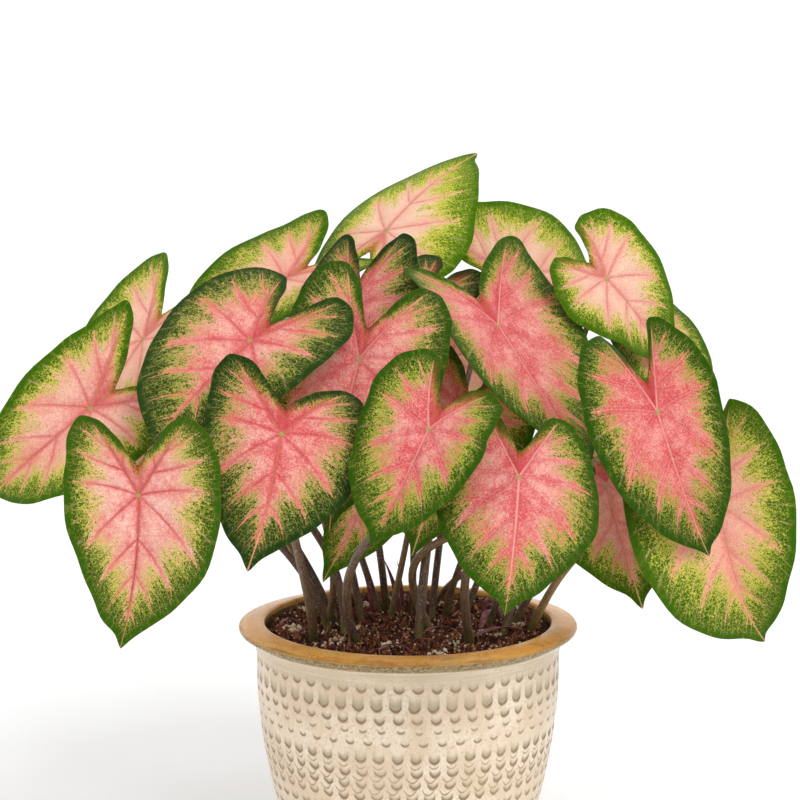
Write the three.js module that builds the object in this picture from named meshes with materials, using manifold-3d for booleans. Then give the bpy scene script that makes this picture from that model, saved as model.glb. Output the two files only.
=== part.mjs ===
// A potted caladium: a full head of heart-shaped leaves on slim stalks, standing in soil in a
// round stoneware pot with a rolled rim.
// Millimetres, +Z up. The origin is the centre of the pot's underside, and -Y is the front.

import * as THREE from 'three';
import { mergeVertices } from 'three/addons/utils/BufferGeometryUtils.js';
import Module from 'manifold-3d';

// ---- Driving dimensions ----

// Pot
const POT_HEIGHT = 196;
const RIM_RADIUS = 120;
const RIM_WIDTH = 19;
const RIM_SLOPE = 2.7;
const LIP_DEPTH = 4;
const NECK_RADIUS = 107;
const NECK_BOTTOM = 156;
const NECK_TOP = 170;
const FOOT_RADIUS = 68;
const FOOT_BEVEL = 4;
const WALL = 7;
const FLOOR = 11;
const BELLY_BULGE = 16;
const BELLY_BULGE_RISE = 22;
const BELLY_SHOULDER = 95;
const RIM_ROUNDING = 3;
const POT_SEGMENTS = 40;

// Soil
const SOIL_LEVEL = 190;
const SOIL_MOUND = 3;
const SOIL_RINGS = [0.8, 0.55, 0.3, 0];
const SOIL_RIPPLE = 0.24;
const SOIL_HEAVE = 0.5;
const FOOT_DEPTH = 16;

// Leaf blades
const BLADE_THICKNESS = 0.8;
const RIB_HEIGHT = 1;
const QUILT = 0.6;
const WAVE_HEIGHT = 2.5;
const WAVES_PER_SIDE = 2.6;
const WAVE_STAGGER = 0.37;
const TIP_TO_SIDE = 6;
const SIDE_TO_LOBE = 4;
const LOBE_TO_NOTCH = 4;
const RINGS = [0.36, 0.7, 1];
const RIBBED_COLUMNS = [0, 4, 7, 10];

// The heart's outline, as shares of its half width (first) and of its length or lobe (second).
const NOTCH_SHARE = 0.19;
const SHOULDER_SHARE = 0.04;
const TIP_TAPER = [0.1, 0.9];
const FLANK_SWELL = [1.02, 0.52];
const SHOULDER_SWELL = [0.985, 0.42];
const LOBE_SWELL = [0.3, 1.01];
const LOBE_INSIDE = [0.55, 0.99];
const NOTCH_FLARE = [0.12, 0.16];

// Leaf stalks
const STALK_SIDES = 6;
const STALK_STEPS = 12;
const STALK_TAPER = 0.7;
const END_CHECKS = 24;

// Space between pieces that touch
const GAP = 0.3;

// Each leaf in turn.
//   hub       where the stalk meets the blade, [x, y, z]
//   heading   the way the blade's tip points, degrees anticlockwise from +X seen from above
//   dip       how far the tip points down, degrees below level
//   roll      turn of the blade about its midrib, degrees
//   length    hub to tip; half: half widths, [right, left]; lobe: length of the back lobes
//   spread    how far out each lobe ends, as a share of the half width, [right, left]
//   fold      rise of each side away from the midrib, [right, left]; arch: its fall towards the margin
//   bend      how far the midrib droops from hub to tip, degrees
//   curl      how far each back lobe turns down, [right, left], degrees
//   sway      sideways drift of the tip, as a share of the length
//   foot      where the stalk stands in the soil, [x, y]; stem: the stalk's radius there
//   rise      how the stalk sets out from its foot; reach: from the hub back down the stalk
const LEAVES = [
  {
    name: 'front_left', hub: [-167, -210, 326], heading: -95, dip: 90, roll: -1,
    length: 102, half: [48, 58], lobe: 54, spread: [0.6, 0.6], fold: [-0.05, 0.6], arch: -0.05,
    bend: 10, curl: [-30, 0], sway: 0.15,
    foot: [-61, 21], rise: [-20, 27, 57], reach: [87, 78, 10], stem: 2.6,
  },
  {
    name: 'front_mid_left', hub: [-79, -204, 363], heading: -101, dip: 54, roll: -7,
    length: 93, half: [51, 52], lobe: 51, spread: [0.7, 0.7], fold: [0.25, -0.2], arch: 0.3,
    bend: 5, curl: [-15, 20], sway: 0.1,
    foot: [-65, -32], rise: [2, -38, 64], reach: [-2, 41, -68], stem: 3.4,
  },
  {
    name: 'front_mid', hub: [12, -220, 369], heading: -159, dip: 62, roll: -16,
    length: 83, half: [45, 44], lobe: 42, spread: [0.5, 0.5], fold: [0.6, -0.2], arch: 0.1,
    bend: 5, curl: [20, 30], sway: 0.05,
    foot: [-30, -40], rise: [-41, -55, 107], reach: [-5, 17, -70], stem: 3.4,
  },
  {
    name: 'front_mid_right', hub: [67, -224, 340], heading: -96, dip: 52, roll: -6,
    length: 93, half: [53, 54], lobe: 52, spread: [0.45, 0.45], fold: [-0.05, -0.35], arch: 0.35,
    bend: 5, curl: [5, 5], sway: 0.05,
    foot: [45, -39], rise: [-9, -35, 59], reach: [-40, 72, -67], stem: 3.4,
  },
  {
    name: 'front_right', hub: [158, -155, 369], heading: -50, dip: 64, roll: 32,
    length: 112, half: [50, 45], lobe: 63, spread: [0.35, 0.35], fold: [0.25, 0], arch: 0.05,
    bend: 60, curl: [40, 5], sway: -0.15,
    foot: [25, -15], rise: [-62, -27, 116], reach: [-120, 83, -129], stem: 3,
  },
  {
    name: 'shoulder_left', hub: [-102, -130, 411], heading: -139, dip: 32, roll: 1,
    length: 105, half: [62, 57], lobe: 62, spread: [0.5, 0.5], fold: [0.6, -0.15], arch: 0.2,
    bend: 5, curl: [20, 5], sway: -0.05,
    foot: [-45, -31], rise: [9, 35, 108], reach: [-7, 43, -133], stem: 3,
  },
  {
    name: 'far_left', hub: [-208, -110, 364], heading: -162, dip: 36, roll: -53,
    length: 106, half: [45, 50], lobe: 65, spread: [0.8, 0.8], fold: [0.35, 0.2], arch: 0.1,
    bend: 60, curl: [-5, 10], sway: 0.15,
    foot: [-52, -14], rise: [-17, -20, 113], reach: [36, 59, -60], stem: 2.7,
  },
  {
    name: 'centre_left', hub: [-32, -127, 399], heading: -121, dip: 62, roll: -9,
    length: 114, half: [56, 57], lobe: 66, spread: [0.5, 0.5], fold: [0.3, -0.15], arch: 0.1,
    bend: 25, curl: [20, 25], sway: 0,
    foot: [-64, 8], rise: [41, -24, 87], reach: [-79, 97, -76], stem: 2.6,
  },
  {
    name: 'centre_right', hub: [60, -57, 412], heading: -42, dip: 47, roll: -3,
    length: 124, half: [65, 68], lobe: 66, spread: [0.5, 0.8], fold: [0, 0.1], arch: -0.1,
    bend: 5, curl: [25, 0], sway: -0.05,
    foot: [6, -43], rise: [14, 7, 242], reach: [-2, 84, -110], stem: 3.4,
  },
  {
    name: 'centre_tall', hub: [-38, -20, 420], heading: -124, dip: 67, roll: 5,
    length: 107, half: [54, 55], lobe: 56, spread: [0.5, 0.5], fold: [0.1, 0.1], arch: 0.15,
    bend: 25, curl: [25, 5], sway: 0,
    foot: [-16, 47], rise: [4, -14, 73], reach: [-27, 100, -12], stem: 2.8,
  },
  {
    name: 'centre_small', hub: [8, 5, 419], heading: -156, dip: 46, roll: -11,
    length: 97, half: [49, 49], lobe: 41, spread: [0.55, 0.55], fold: [0.15, 0.05], arch: 0.15,
    bend: 25, curl: [15, 0], sway: 0,
    foot: [-16, 22], rise: [19, -23, 98], reach: [15, 22, -61], stem: 2.4,
  },
  {
    name: 'back_left', hub: [-182, -20, 397], heading: -152, dip: 50, roll: -5,
    length: 115, half: [59, 58], lobe: 65, spread: [0.65, 0.65], fold: [0.25, 0.1], arch: 0.05,
    bend: 10, curl: [0, 10], sway: 0,
    foot: [-47, 16], rise: [-24, -14, 85], reach: [41, 24, -68], stem: 2.7,
  },
  {
    name: 'upper_left', hub: [-89, 70, 429], heading: -155, dip: 25, roll: -13,
    length: 107, half: [56, 54], lobe: 62, spread: [0.65, 0.65], fold: [0.3, 0.1], arch: 0.05,
    bend: 20, curl: [0, 10], sway: 0,
    foot: [-29, 4], rise: [-16, 6, 91], reach: [16, -4, -73], stem: 2.7,
  },
  {
    name: 'top', hub: [-16, 90, 462], heading: 42, dip: -41, roll: 7,
    length: 110, half: [60, 57], lobe: 57, spread: [0.6, 0.6], fold: [-0.1, 0.05], arch: 0.25,
    bend: 25, curl: [10, 5], sway: 0,
    foot: [5, -8], rise: [23, 17, 132], reach: [14, 1, -70], stem: 2.7,
  },
  {
    name: 'upper_back_right', hub: [74, 120, 429], heading: 33, dip: 1, roll: 64,
    length: 109, half: [55, 55], lobe: 57, spread: [0.6, 0.6], fold: [0.1, 0.2], arch: 0.05,
    bend: 30, curl: [10, 10], sway: 0,
    foot: [15, 14], rise: [9, 16, 103], reach: [-28, 5, -43], stem: 2.7,
  },
  {
    name: 'upper_right', hub: [137, 0, 437], heading: -1, dip: 44, roll: 29,
    length: 78, half: [43, 44], lobe: 38, spread: [0.6, 0.6], fold: [-0.25, 0.6], arch: 0.1,
    bend: 30, curl: [-15, 30], sway: -0.05,
    foot: [50, -3], rise: [33, -10, 94], reach: [-26, 9, -74], stem: 2.7,
  },
  {
    name: 'back_right', hub: [172, 40, 394], heading: -40, dip: 47, roll: 3,
    length: 93, half: [47, 47], lobe: 49, spread: [0.6, 0.6], fold: [0.1, 0.15], arch: 0.1,
    bend: 25, curl: [10, 15], sway: 0,
    foot: [61, -27], rise: [23, 11, 77], reach: [-46, 15, -55], stem: 2.7,
  },
  {
    name: 'far_right', hub: [202, -119, 302], heading: -59, dip: 75, roll: 39,
    length: 115, half: [59, 51], lobe: 69, spread: [0.35, 0.35], fold: [0.6, -0.2], arch: -0.1,
    bend: 60, curl: [10, 0], sway: -0.15,
    foot: [80, -9], rise: [39, -40, 124], reach: [-38, 57, -33], stem: 3,
  },
  {
    name: 'low_right', hub: [132, -90, 309], heading: -68, dip: 57, roll: 17,
    length: 88, half: [50, 46], lobe: 46, spread: [0.6, 0.6], fold: [0, 0.1], arch: 0.15,
    bend: 10, curl: [10, 10], sway: -0.05,
    foot: [14, 48], rise: [6, -7, 62], reach: [-46, 61, -67], stem: 2.4,
  },
  {
    name: 'under_left', hub: [-8, -35, 329], heading: -145, dip: 57, roll: -17,
    length: 110, half: [44, 50], lobe: 38, spread: [0.6, 0.3], fold: [0.1, 0], arch: 0.15,
    bend: 5, curl: [20, 25], sway: 0.05,
    foot: [2, 40], rise: [2, -26, 46], reach: [14, 29, -44], stem: 2.6,
  },
  {
    name: 'under_mid', hub: [35, -51, 347], heading: -127, dip: 54, roll: -13,
    length: 102, half: [53, 54], lobe: 54, spread: [0.6, 0.6], fold: [0.15, 0.05], arch: 0.15,
    bend: 10, curl: [10, 10], sway: 0,
    foot: [25, 35], rise: [1, -33, 61], reach: [39, 40, -56], stem: 2.7,
  },
  {
    name: 'rear_left', hub: [-169, 93, 329], heading: 150, dip: 48, roll: -8,
    length: 108, half: [54, 53], lobe: 57, spread: [0.6, 0.6], fold: [0.15, 0.1], arch: 0.1,
    bend: 30, curl: [10, 10], sway: 0.05,
    foot: [-44, 30], rise: [-26, 6, 59], reach: [31, -12, -45], stem: 2.7,
  },
  {
    name: 'rear_mid_left', hub: [-85, 160, 350], heading: 118, dip: 52, roll: 6,
    length: 114, half: [57, 56], lobe: 60, spread: [0.6, 0.6], fold: [0.15, 0.1], arch: 0.1,
    bend: 30, curl: [10, 10], sway: 0.05,
    foot: [-16, 29], rise: [-15, 20, 61], reach: [17, -29, -55], stem: 2.7,
  },
  {
    name: 'rear_mid', hub: [30, 185, 355], heading: 84, dip: 50, roll: -5,
    length: 118, half: [59, 58], lobe: 63, spread: [0.6, 0.6], fold: [0.15, 0.1], arch: 0.1,
    bend: 30, curl: [10, 10], sway: 0.05,
    foot: [10, 34], rise: [1, 26, 64], reach: [-3, -37, -56], stem: 2.7,
  },
  {
    name: 'rear_mid_right', hub: [125, 140, 345], heading: 55, dip: 50, roll: 8,
    length: 112, half: [56, 55], lobe: 59, spread: [0.6, 0.6], fold: [0.15, 0.1], arch: 0.1,
    bend: 30, curl: [10, 10], sway: 0.05,
    foot: [35, 31], rise: [20, 17, 60], reach: [-25, -22, -54], stem: 2.7,
  },
  {
    name: 'rear_right', hub: [165, 55, 320], heading: 20, dip: 50, roll: -10,
    length: 100, half: [50, 49], lobe: 53, spread: [0.6, 0.6], fold: [0.15, 0.1], arch: 0.1,
    bend: 30, curl: [10, 10], sway: 0.05,
    foot: [67, 3], rise: [20, 4, 48], reach: [-28, -9, -46], stem: 2.7,
  },
];

// Dry leaf sheaths that stand in the soil as slim pointed spears: foot on the soil, the
// point's place from the foot, how far the spear bellies sideways, and its largest radius.
const SPEARS = [
  { name: 'sheath_spear_left', foot: [-26, 31], point: [-7, 2, 34], belly: [6, 0, 2], radius: 2 },
  { name: 'sheath_spear_mid', foot: [-6, 25], point: [-12, 4, 44], belly: [7, 2, 0], radius: 2.2 },
  { name: 'sheath_spear_right', foot: [-5, 44], point: [-3, 6, 38], belly: [4, 0, 0], radius: 1.6 },
];
const SPEAR_STEPS = 6;
const SPEAR_FOOT = 0.3;
const SPEAR_BLUNTNESS = 0.12;

// ---- Finishes ----

const finish = {
  blade: () => new THREE.MeshStandardMaterial({ color: 0xd98a80, roughness: 0.5, side: THREE.DoubleSide }),
  stalk: () => new THREE.MeshStandardMaterial({ color: 0x59453a, roughness: 0.6 }),
  spear: () => new THREE.MeshStandardMaterial({ color: 0x6e2238, roughness: 0.6 }),
  soil: () => new THREE.MeshStandardMaterial({ color: 0x2b1c15, roughness: 1 }),
  stoneware: () => new THREE.MeshStandardMaterial({ color: 0xd9cbb0, roughness: 0.35 }),
};

const group = new THREE.Group();

function addPiece(name, geometry, material) {
  const mesh = new THREE.Mesh(geometry, material);
  mesh.name = name;
  group.add(mesh);
}

// ---- Solid joins and cuts ----

const wasm = await Module();
wasm.setup();

function toSolid(geometry) {
  const bare = geometry.clone();
  bare.deleteAttribute('normal');
  bare.deleteAttribute('uv');
  const merged = mergeVertices(bare, 1e-4);
  return new wasm.Manifold(new wasm.Mesh({
    numProp: 3,
    vertProperties: new Float32Array(merged.attributes.position.array),
    triVerts: new Uint32Array(merged.index.array),
  }));
}

function fromSolid(solid) {
  const mesh = solid.getMesh();
  const geometry = new THREE.BufferGeometry();
  geometry.setAttribute('position', new THREE.BufferAttribute(mesh.vertProperties, 3));
  geometry.setIndex(new THREE.BufferAttribute(mesh.triVerts, 1));
  geometry.computeVertexNormals();
  return geometry;
}

// ---- Leaf blade ----

// The blade's own directions at its hub: along the midrib, out to its right, and up from its face.
function bladeAxes(leaf) {
  const heading = THREE.MathUtils.degToRad(leaf.heading);
  const dip = THREE.MathUtils.degToRad(leaf.dip);
  const roll = THREE.MathUtils.degToRad(leaf.roll);
  const level = new THREE.Vector3(Math.cos(heading), Math.sin(heading), 0);
  const along = level.clone().multiplyScalar(Math.cos(dip));
  along.z -= Math.sin(dip);
  const face = level.clone().multiplyScalar(Math.sin(dip));
  face.z += Math.cos(dip);
  face.applyAxisAngle(along, roll);
  const right = new THREE.Vector3().crossVectors(along, face);
  return { along, right, face };
}

// Half of the heart's outline in the flat, from the tip round the side and the lobe to the notch.
function halfOutline(leaf, side) {
  const width = leaf.half[side];
  const spread = leaf.spread[side];
  const { length, lobe } = leaf;
  const tip = new THREE.Vector2(0, length);
  const shoulder = new THREE.Vector2(width, -SHOULDER_SHARE * length);
  const lobeEnd = new THREE.Vector2(spread * width, -lobe);
  const notch = new THREE.Vector2(0, -NOTCH_SHARE * length);
  const flank = new THREE.CubicBezierCurve(
    tip,
    new THREE.Vector2(TIP_TAPER[0] * width, TIP_TAPER[1] * length),
    new THREE.Vector2(FLANK_SWELL[0] * width, FLANK_SWELL[1] * length),
    shoulder);
  const outerLobe = new THREE.CubicBezierCurve(
    shoulder,
    new THREE.Vector2(SHOULDER_SWELL[0] * width, shoulder.y - SHOULDER_SWELL[1] * (lobe + shoulder.y)),
    new THREE.Vector2((spread + LOBE_SWELL[0]) * width, -LOBE_SWELL[1] * lobe),
    lobeEnd);
  const innerLobe = new THREE.CubicBezierCurve(
    lobeEnd,
    new THREE.Vector2(LOBE_INSIDE[0] * spread * width, -LOBE_INSIDE[1] * lobe),
    new THREE.Vector2(NOTCH_FLARE[0] * width, notch.y - NOTCH_FLARE[1] * lobe),
    notch);
  return [
    ...flank.getPoints(TIP_TO_SIDE),
    ...outerLobe.getPoints(SIDE_TO_LOBE).slice(1),
    ...innerLobe.getPoints(LOBE_TO_NOTCH).slice(1),
  ];
}

// A point of the blade's middle surface. u runs to the right and v towards the tip, in the flat.
function bladePoint(leaf, axes, u, v, lift) {
  const side = u >= 0 ? 0 : 1;
  const width = leaf.half[side];
  const out = Math.abs(u) / width;
  const height = width * (leaf.fold[side] * out - leaf.arch * out * out) + lift;
  const degrees = v >= 0 ? leaf.bend * v / leaf.length : leaf.curl[side] * v / leaf.lobe;
  const turn = THREE.MathUtils.degToRad(degrees);
  const chord = Math.abs(turn) < 1e-6 ? v : v * Math.sin(turn / 2) / (turn / 2);
  const drift = leaf.sway * leaf.length * Math.pow(Math.max(v, 0) / leaf.length, 2);
  return new THREE.Vector3(...leaf.hub)
    .addScaledVector(axes.along, chord * Math.cos(turn / 2) + height * Math.sin(turn))
    .addScaledVector(axes.face, height * Math.cos(turn) - chord * Math.sin(turn / 2))
    .addScaledVector(axes.right, u + drift);
}

// The margin waves up and down, and comes to rest at the tip and in the notch. Each side of
// each leaf starts at its own place in the wave.
function marginWave(index, side, share) {
  const start = (index + side) * WAVE_STAGGER;
  const swing = Math.sin(2 * Math.PI * (WAVES_PER_SIDE * share + start));
  return WAVE_HEIGHT * swing * Math.sqrt(Math.sin(Math.PI * share));
}

// One thin closed sheet, split alike on both faces: columns run from the hub to the margin,
// the main veins lie on some of them, and each of these is a ridge on the underside.
function bladeGeometry(leaf, index) {
  const axes = bladeAxes(leaf);
  const last = TIP_TO_SIDE + SIDE_TO_LOBE + LOBE_TO_NOTCH;
  const columns = [];
  halfOutline(leaf, 0).forEach((point, step) => {
    columns.push({ u: point.x, v: point.y, step, side: 0 });
  });
  halfOutline(leaf, 1).slice(1, last).reverse().forEach((point, back) => {
    columns.push({ u: -point.x, v: point.y, step: last - 1 - back, side: 1 });
  });
  const count = columns.length;

  const middle = [bladePoint(leaf, axes, 0, 0, 0)];
  const ridge = [RIB_HEIGHT];
  for (const ring of RINGS) {
    for (const column of columns) {
      const ribbed = RIBBED_COLUMNS.includes(column.step);
      const wave = marginWave(index, column.side, column.step / last) * Math.pow(ring, 3);
      const quilt = (ribbed ? -QUILT : QUILT) * Math.sin(Math.PI * ring);
      middle.push(bladePoint(leaf, axes, column.u * ring, column.v * ring, wave + quilt));
      ridge.push(ribbed ? RIB_HEIGHT * (1 - ring) : 0);
    }
  }

  const faces = [];
  for (let column = 0; column < count; column += 1) {
    const next = (column + 1) % count;
    faces.push([0, 1 + next, 1 + column]);
    for (let ring = 0; ring + 1 < RINGS.length; ring += 1) {
      const inner = 1 + ring * count;
      const outer = inner + count;
      faces.push([inner + column, outer + next, outer + column]);
      faces.push([inner + column, inner + next, outer + next]);
    }
  }

  const sheet = new THREE.BufferGeometry().setFromPoints(middle);
  sheet.setIndex(faces.flat());
  sheet.computeVertexNormals();
  const upper = [];
  const lower = [];
  middle.forEach((point, at) => {
    const normal = new THREE.Vector3().fromBufferAttribute(sheet.attributes.normal, at);
    upper.push(point.clone().addScaledVector(normal, BLADE_THICKNESS / 2));
    lower.push(point.clone().addScaledVector(normal, -BLADE_THICKNESS / 2 - ridge[at]));
  });

  const under = middle.length;
  const shell = faces.slice();
  for (const [a, b, c] of faces) {
    shell.push([under + a, under + c, under + b]);
  }
  const rim = 1 + (RINGS.length - 1) * count;
  for (let column = 0; column < count; column += 1) {
    const here = rim + column;
    const next = rim + (column + 1) % count;
    shell.push([here, next, under + next]);
    shell.push([here, under + next, under + here]);
  }
  const blade = new THREE.BufferGeometry().setFromPoints([...upper, ...lower]);
  blade.setIndex(shell.flat());
  blade.computeVertexNormals();
  return blade;
}

// ---- Stalks and spears ----

// A solid tube along a curve. Its radius follows a rule from the start of the curve, 0, to its
// end, 1. With a clearance it is the space that the tube needs round its faces and under its foot.
function tube(curve, steps, radiusAt, clearance) {
  const outline = [];
  for (let corner = 0; corner < STALK_SIDES; corner += 1) {
    const angle = corner / STALK_SIDES * 2 * Math.PI;
    outline.push(new THREE.Vector2(Math.cos(angle), Math.sin(angle)));
  }
  const geometry = new THREE.ExtrudeGeometry(new THREE.Shape(outline), {
    steps, bevelEnabled: false, extrudePath: curve,
  });
  const stations = curve.getSpacedPoints(steps);
  const positions = geometry.attributes.position;
  const corner = new THREE.Vector3();
  for (let at = 0; at < positions.count; at += 1) {
    corner.fromBufferAttribute(positions, at);
    let nearest = 0;
    stations.forEach((station, step) => {
      if (corner.distanceTo(station) < corner.distanceTo(stations[nearest])) {
        nearest = step;
      }
    });
    const centre = stations[nearest];
    const radius = radiusAt(nearest / steps) + clearance / Math.cos(Math.PI / STALK_SIDES);
    corner.sub(centre).multiplyScalar(radius).add(centre);
    if (nearest === 0) {
      corner.addScaledVector(curve.getTangent(0), -clearance);
    }
    positions.setXYZ(at, corner.x, corner.y, corner.z);
  }
  return geometry;
}

// The stalk ends this far under the middle of the blade, so that its end clears the underside
// of the blade all round.
function stalkDrop(leaf, axes, arrival) {
  const radius = leaf.stem * STALK_TAPER;
  const sag = Math.sin(THREE.MathUtils.degToRad(leaf.bend * RINGS[0] / 2));
  const across = new THREE.Vector3().crossVectors(arrival, axes.face).normalize();
  const upward = new THREE.Vector3().crossVectors(across, arrival);
  let tallest = 0;
  for (let step = 0; step < END_CHECKS; step += 1) {
    const angle = step / END_CHECKS * 2 * Math.PI;
    const spoke = across.clone().multiplyScalar(radius * Math.cos(angle))
      .addScaledVector(upward, radius * Math.sin(angle));
    const u = spoke.dot(axes.right);
    const slope = leaf.fold[u >= 0 ? 0 : 1] - leaf.arch * RINGS[0];
    const underside = Math.abs(u) * slope - Math.max(spoke.dot(axes.along), 0) * sag;
    tallest = Math.max(tallest, spoke.dot(axes.face) - underside);
  }
  return BLADE_THICKNESS / 2 + RIB_HEIGHT + GAP + tallest;
}

// The stalk rises from its foot in the soil and meets the underside of the blade at the hub.
function stalkCurve(leaf) {
  const axes = bladeAxes(leaf);
  const reach = new THREE.Vector3(...leaf.reach);
  const drop = stalkDrop(leaf, axes, reach.clone().negate().normalize());
  const foot = new THREE.Vector3(...leaf.foot, SOIL_LEVEL - FOOT_DEPTH);
  const top = new THREE.Vector3(...leaf.hub).addScaledVector(axes.face, -drop);
  return new THREE.CubicBezierCurve3(
    foot, foot.clone().add(new THREE.Vector3(...leaf.rise)), top.clone().add(reach), top);
}

function stalkGeometry(leaf, clearance) {
  const radiusAt = (share) => leaf.stem * (1 + (STALK_TAPER - 1) * share);
  return tube(stalkCurve(leaf), STALK_STEPS, radiusAt, clearance);
}

function spearGeometry(spear, clearance) {
  const foot = new THREE.Vector3(...spear.foot, SOIL_LEVEL - FOOT_DEPTH / 2);
  const point = foot.clone().add(new THREE.Vector3(...spear.point));
  point.z += FOOT_DEPTH / 2;
  const belly = foot.clone().lerp(point, 0.5).add(new THREE.Vector3(...spear.belly));
  const curve = new THREE.QuadraticBezierCurve3(foot, belly, point);
  const swellAt = (share) => Math.sin(Math.PI * (SPEAR_FOOT + (1 - SPEAR_FOOT) * share));
  const radiusAt = (share) => spear.radius * Math.max(swellAt(share), SPEAR_BLUNTNESS);
  return tube(curve, SPEAR_STEPS, radiusAt, clearance);
}

// ---- Pot and soil ----

// The pot's belly from its foot to its neck, set in by a depth.
function bellyCurve(inset, bottom) {
  return new THREE.CubicBezierCurve(
    new THREE.Vector2(FOOT_RADIUS + FOOT_BEVEL / 2 - inset, bottom),
    new THREE.Vector2(FOOT_RADIUS + BELLY_BULGE - inset, bottom + BELLY_BULGE_RISE),
    new THREE.Vector2(NECK_RADIUS - 2 - inset, BELLY_SHOULDER),
    new THREE.Vector2(NECK_RADIUS - inset, NECK_BOTTOM));
}

// The pot's wall in section: the flat foot, the belly, the straight neck, the cove under the
// rim, the rolled rim that slopes a little outwards, and back down the inside to the floor.
function potProfile() {
  const mouth = RIM_RADIUS - RIM_WIDTH;
  const rimEdge = POT_HEIGHT - RIM_SLOPE;
  const lipUnder = rimEdge - LIP_DEPTH;
  const cove = new THREE.QuadraticBezierCurve(
    new THREE.Vector2(NECK_RADIUS, NECK_TOP),
    new THREE.Vector2(NECK_RADIUS, lipUnder - RIM_ROUNDING),
    new THREE.Vector2(RIM_RADIUS - RIM_ROUNDING, lipUnder));
  const roll = new THREE.CubicBezierCurve(
    new THREE.Vector2(RIM_RADIUS - RIM_ROUNDING / 3, lipUnder + RIM_ROUNDING / 3),
    new THREE.Vector2(RIM_RADIUS, lipUnder + RIM_ROUNDING),
    new THREE.Vector2(RIM_RADIUS, rimEdge),
    new THREE.Vector2(RIM_RADIUS - RIM_ROUNDING, rimEdge));
  return [
    new THREE.Vector2(0, 0),
    new THREE.Vector2(FOOT_RADIUS - FOOT_BEVEL / 2, 0),
    ...bellyCurve(0, FOOT_BEVEL).getPoints(9),
    ...cove.getPoints(4),
    ...roll.getPoints(3),
    new THREE.Vector2(mouth + 2, POT_HEIGHT),
    new THREE.Vector2(mouth, POT_HEIGHT - 1.5),
    new THREE.Vector2(NECK_RADIUS - WALL, NECK_TOP),
    ...bellyCurve(WALL, FLOOR).getPoints(6).reverse(),
    new THREE.Vector2(0, FLOOR),
  ];
}

// The soil fills the pot to just under the rim, a little higher and rougher in the middle.
function soilGeometry() {
  const brim = new THREE.Vector2(NECK_RADIUS - WALL - GAP, SOIL_LEVEL);
  const top = SOIL_RINGS.map((share) => (
    new THREE.Vector2(brim.x * share, SOIL_LEVEL + SOIL_MOUND * (1 - share * share))
  ));
  const geometry = new THREE.LatheGeometry([
    new THREE.Vector2(0, FLOOR + GAP),
    ...bellyCurve(WALL + GAP, FLOOR + GAP).getPoints(6),
    new THREE.Vector2(brim.x, NECK_TOP),
    brim,
    ...top,
  ], POT_SEGMENTS);
  const positions = geometry.attributes.position;
  for (let at = 0; at < positions.count; at += 1) {
    const x = positions.getX(at);
    const z = positions.getZ(at);
    if (positions.getY(at) > SOIL_LEVEL) {
      const heave = Math.sin(x * SOIL_RIPPLE) + Math.sin((z + x / 3) * SOIL_RIPPLE);
      positions.setY(at, positions.getY(at) + SOIL_HEAVE * heave);
    }
  }
  return geometry.rotateX(Math.PI / 2);
}

// ---- The assembly ----

LEAVES.forEach((leaf, index) => {
  addPiece(`blade_${leaf.name}`, bladeGeometry(leaf, index), finish.blade());
  addPiece(`stalk_${leaf.name}`, stalkGeometry(leaf, 0), finish.stalk());
});

for (const spear of SPEARS) {
  addPiece(spear.name, spearGeometry(spear, 0), finish.spear());
}

let soil = toSolid(soilGeometry());
for (const leaf of LEAVES) {
  soil = soil.subtract(toSolid(stalkGeometry(leaf, GAP)));
}
for (const spear of SPEARS) {
  soil = soil.subtract(toSolid(spearGeometry(spear, GAP)));
}
addPiece('soil', fromSolid(soil), finish.soil());

const pot = new THREE.LatheGeometry(potProfile(), POT_SEGMENTS).rotateX(Math.PI / 2);
addPiece('pot', pot, finish.stoneware());

export default group;
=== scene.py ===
# %% [markdown]
# # A potted caladium
# Heart-shaped leaves stand on slim stalks over a stoneware pot of potting soil. Each cell below
# makes one kind of piece. Everything is in metres and +Z is up, and a leaf's or pot's own sizes
# are written in millimetres, as a maker would measure them.

# %% Start from the solids in model.glb
import math
from types import SimpleNamespace

import bmesh
import bpy
import numpy as np
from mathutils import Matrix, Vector


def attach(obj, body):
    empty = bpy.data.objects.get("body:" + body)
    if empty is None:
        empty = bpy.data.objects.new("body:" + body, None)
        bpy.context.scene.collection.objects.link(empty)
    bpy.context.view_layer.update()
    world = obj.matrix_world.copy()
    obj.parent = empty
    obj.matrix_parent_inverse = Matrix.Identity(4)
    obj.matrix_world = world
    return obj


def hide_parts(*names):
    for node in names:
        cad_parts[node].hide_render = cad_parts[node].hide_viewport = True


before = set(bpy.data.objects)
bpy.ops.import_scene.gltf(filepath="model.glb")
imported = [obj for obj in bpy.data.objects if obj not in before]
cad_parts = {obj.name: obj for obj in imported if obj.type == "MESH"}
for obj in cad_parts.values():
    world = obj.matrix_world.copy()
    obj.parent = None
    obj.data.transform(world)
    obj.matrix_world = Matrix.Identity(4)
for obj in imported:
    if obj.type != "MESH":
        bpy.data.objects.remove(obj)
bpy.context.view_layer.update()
MM = 0.001
print("solids:", len(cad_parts))

# %% [markdown]
# ## Writing shaders as sums
# A material in Blender is a web of nodes. Wiring it by hand hides what it works out, and it
# reads more easily as arithmetic. So a small class stands for the value that comes out of a
# node, and the usual signs join two of them with a Math node.

# %% A value that changes over a surface
def colour(code):
    """A hex colour as Blender's linear red, green and blue."""
    shares = [int(code[i:i + 2], 16) / 255 for i in (0, 2, 4)]
    return tuple(s / 12.92 if s <= 0.04045 else ((s + 0.055) / 1.055) ** 2.4 for s in shares)


def feed(socket, value):
    """Joins a value to a node's input, or writes a number or a hex colour into it."""
    if isinstance(value, Field):
        socket.node.id_data.links.new(value.socket, socket)
    elif isinstance(value, str):
        socket.default_value = (*colour(value), 1.0)
    else:
        socket.default_value = value


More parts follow.
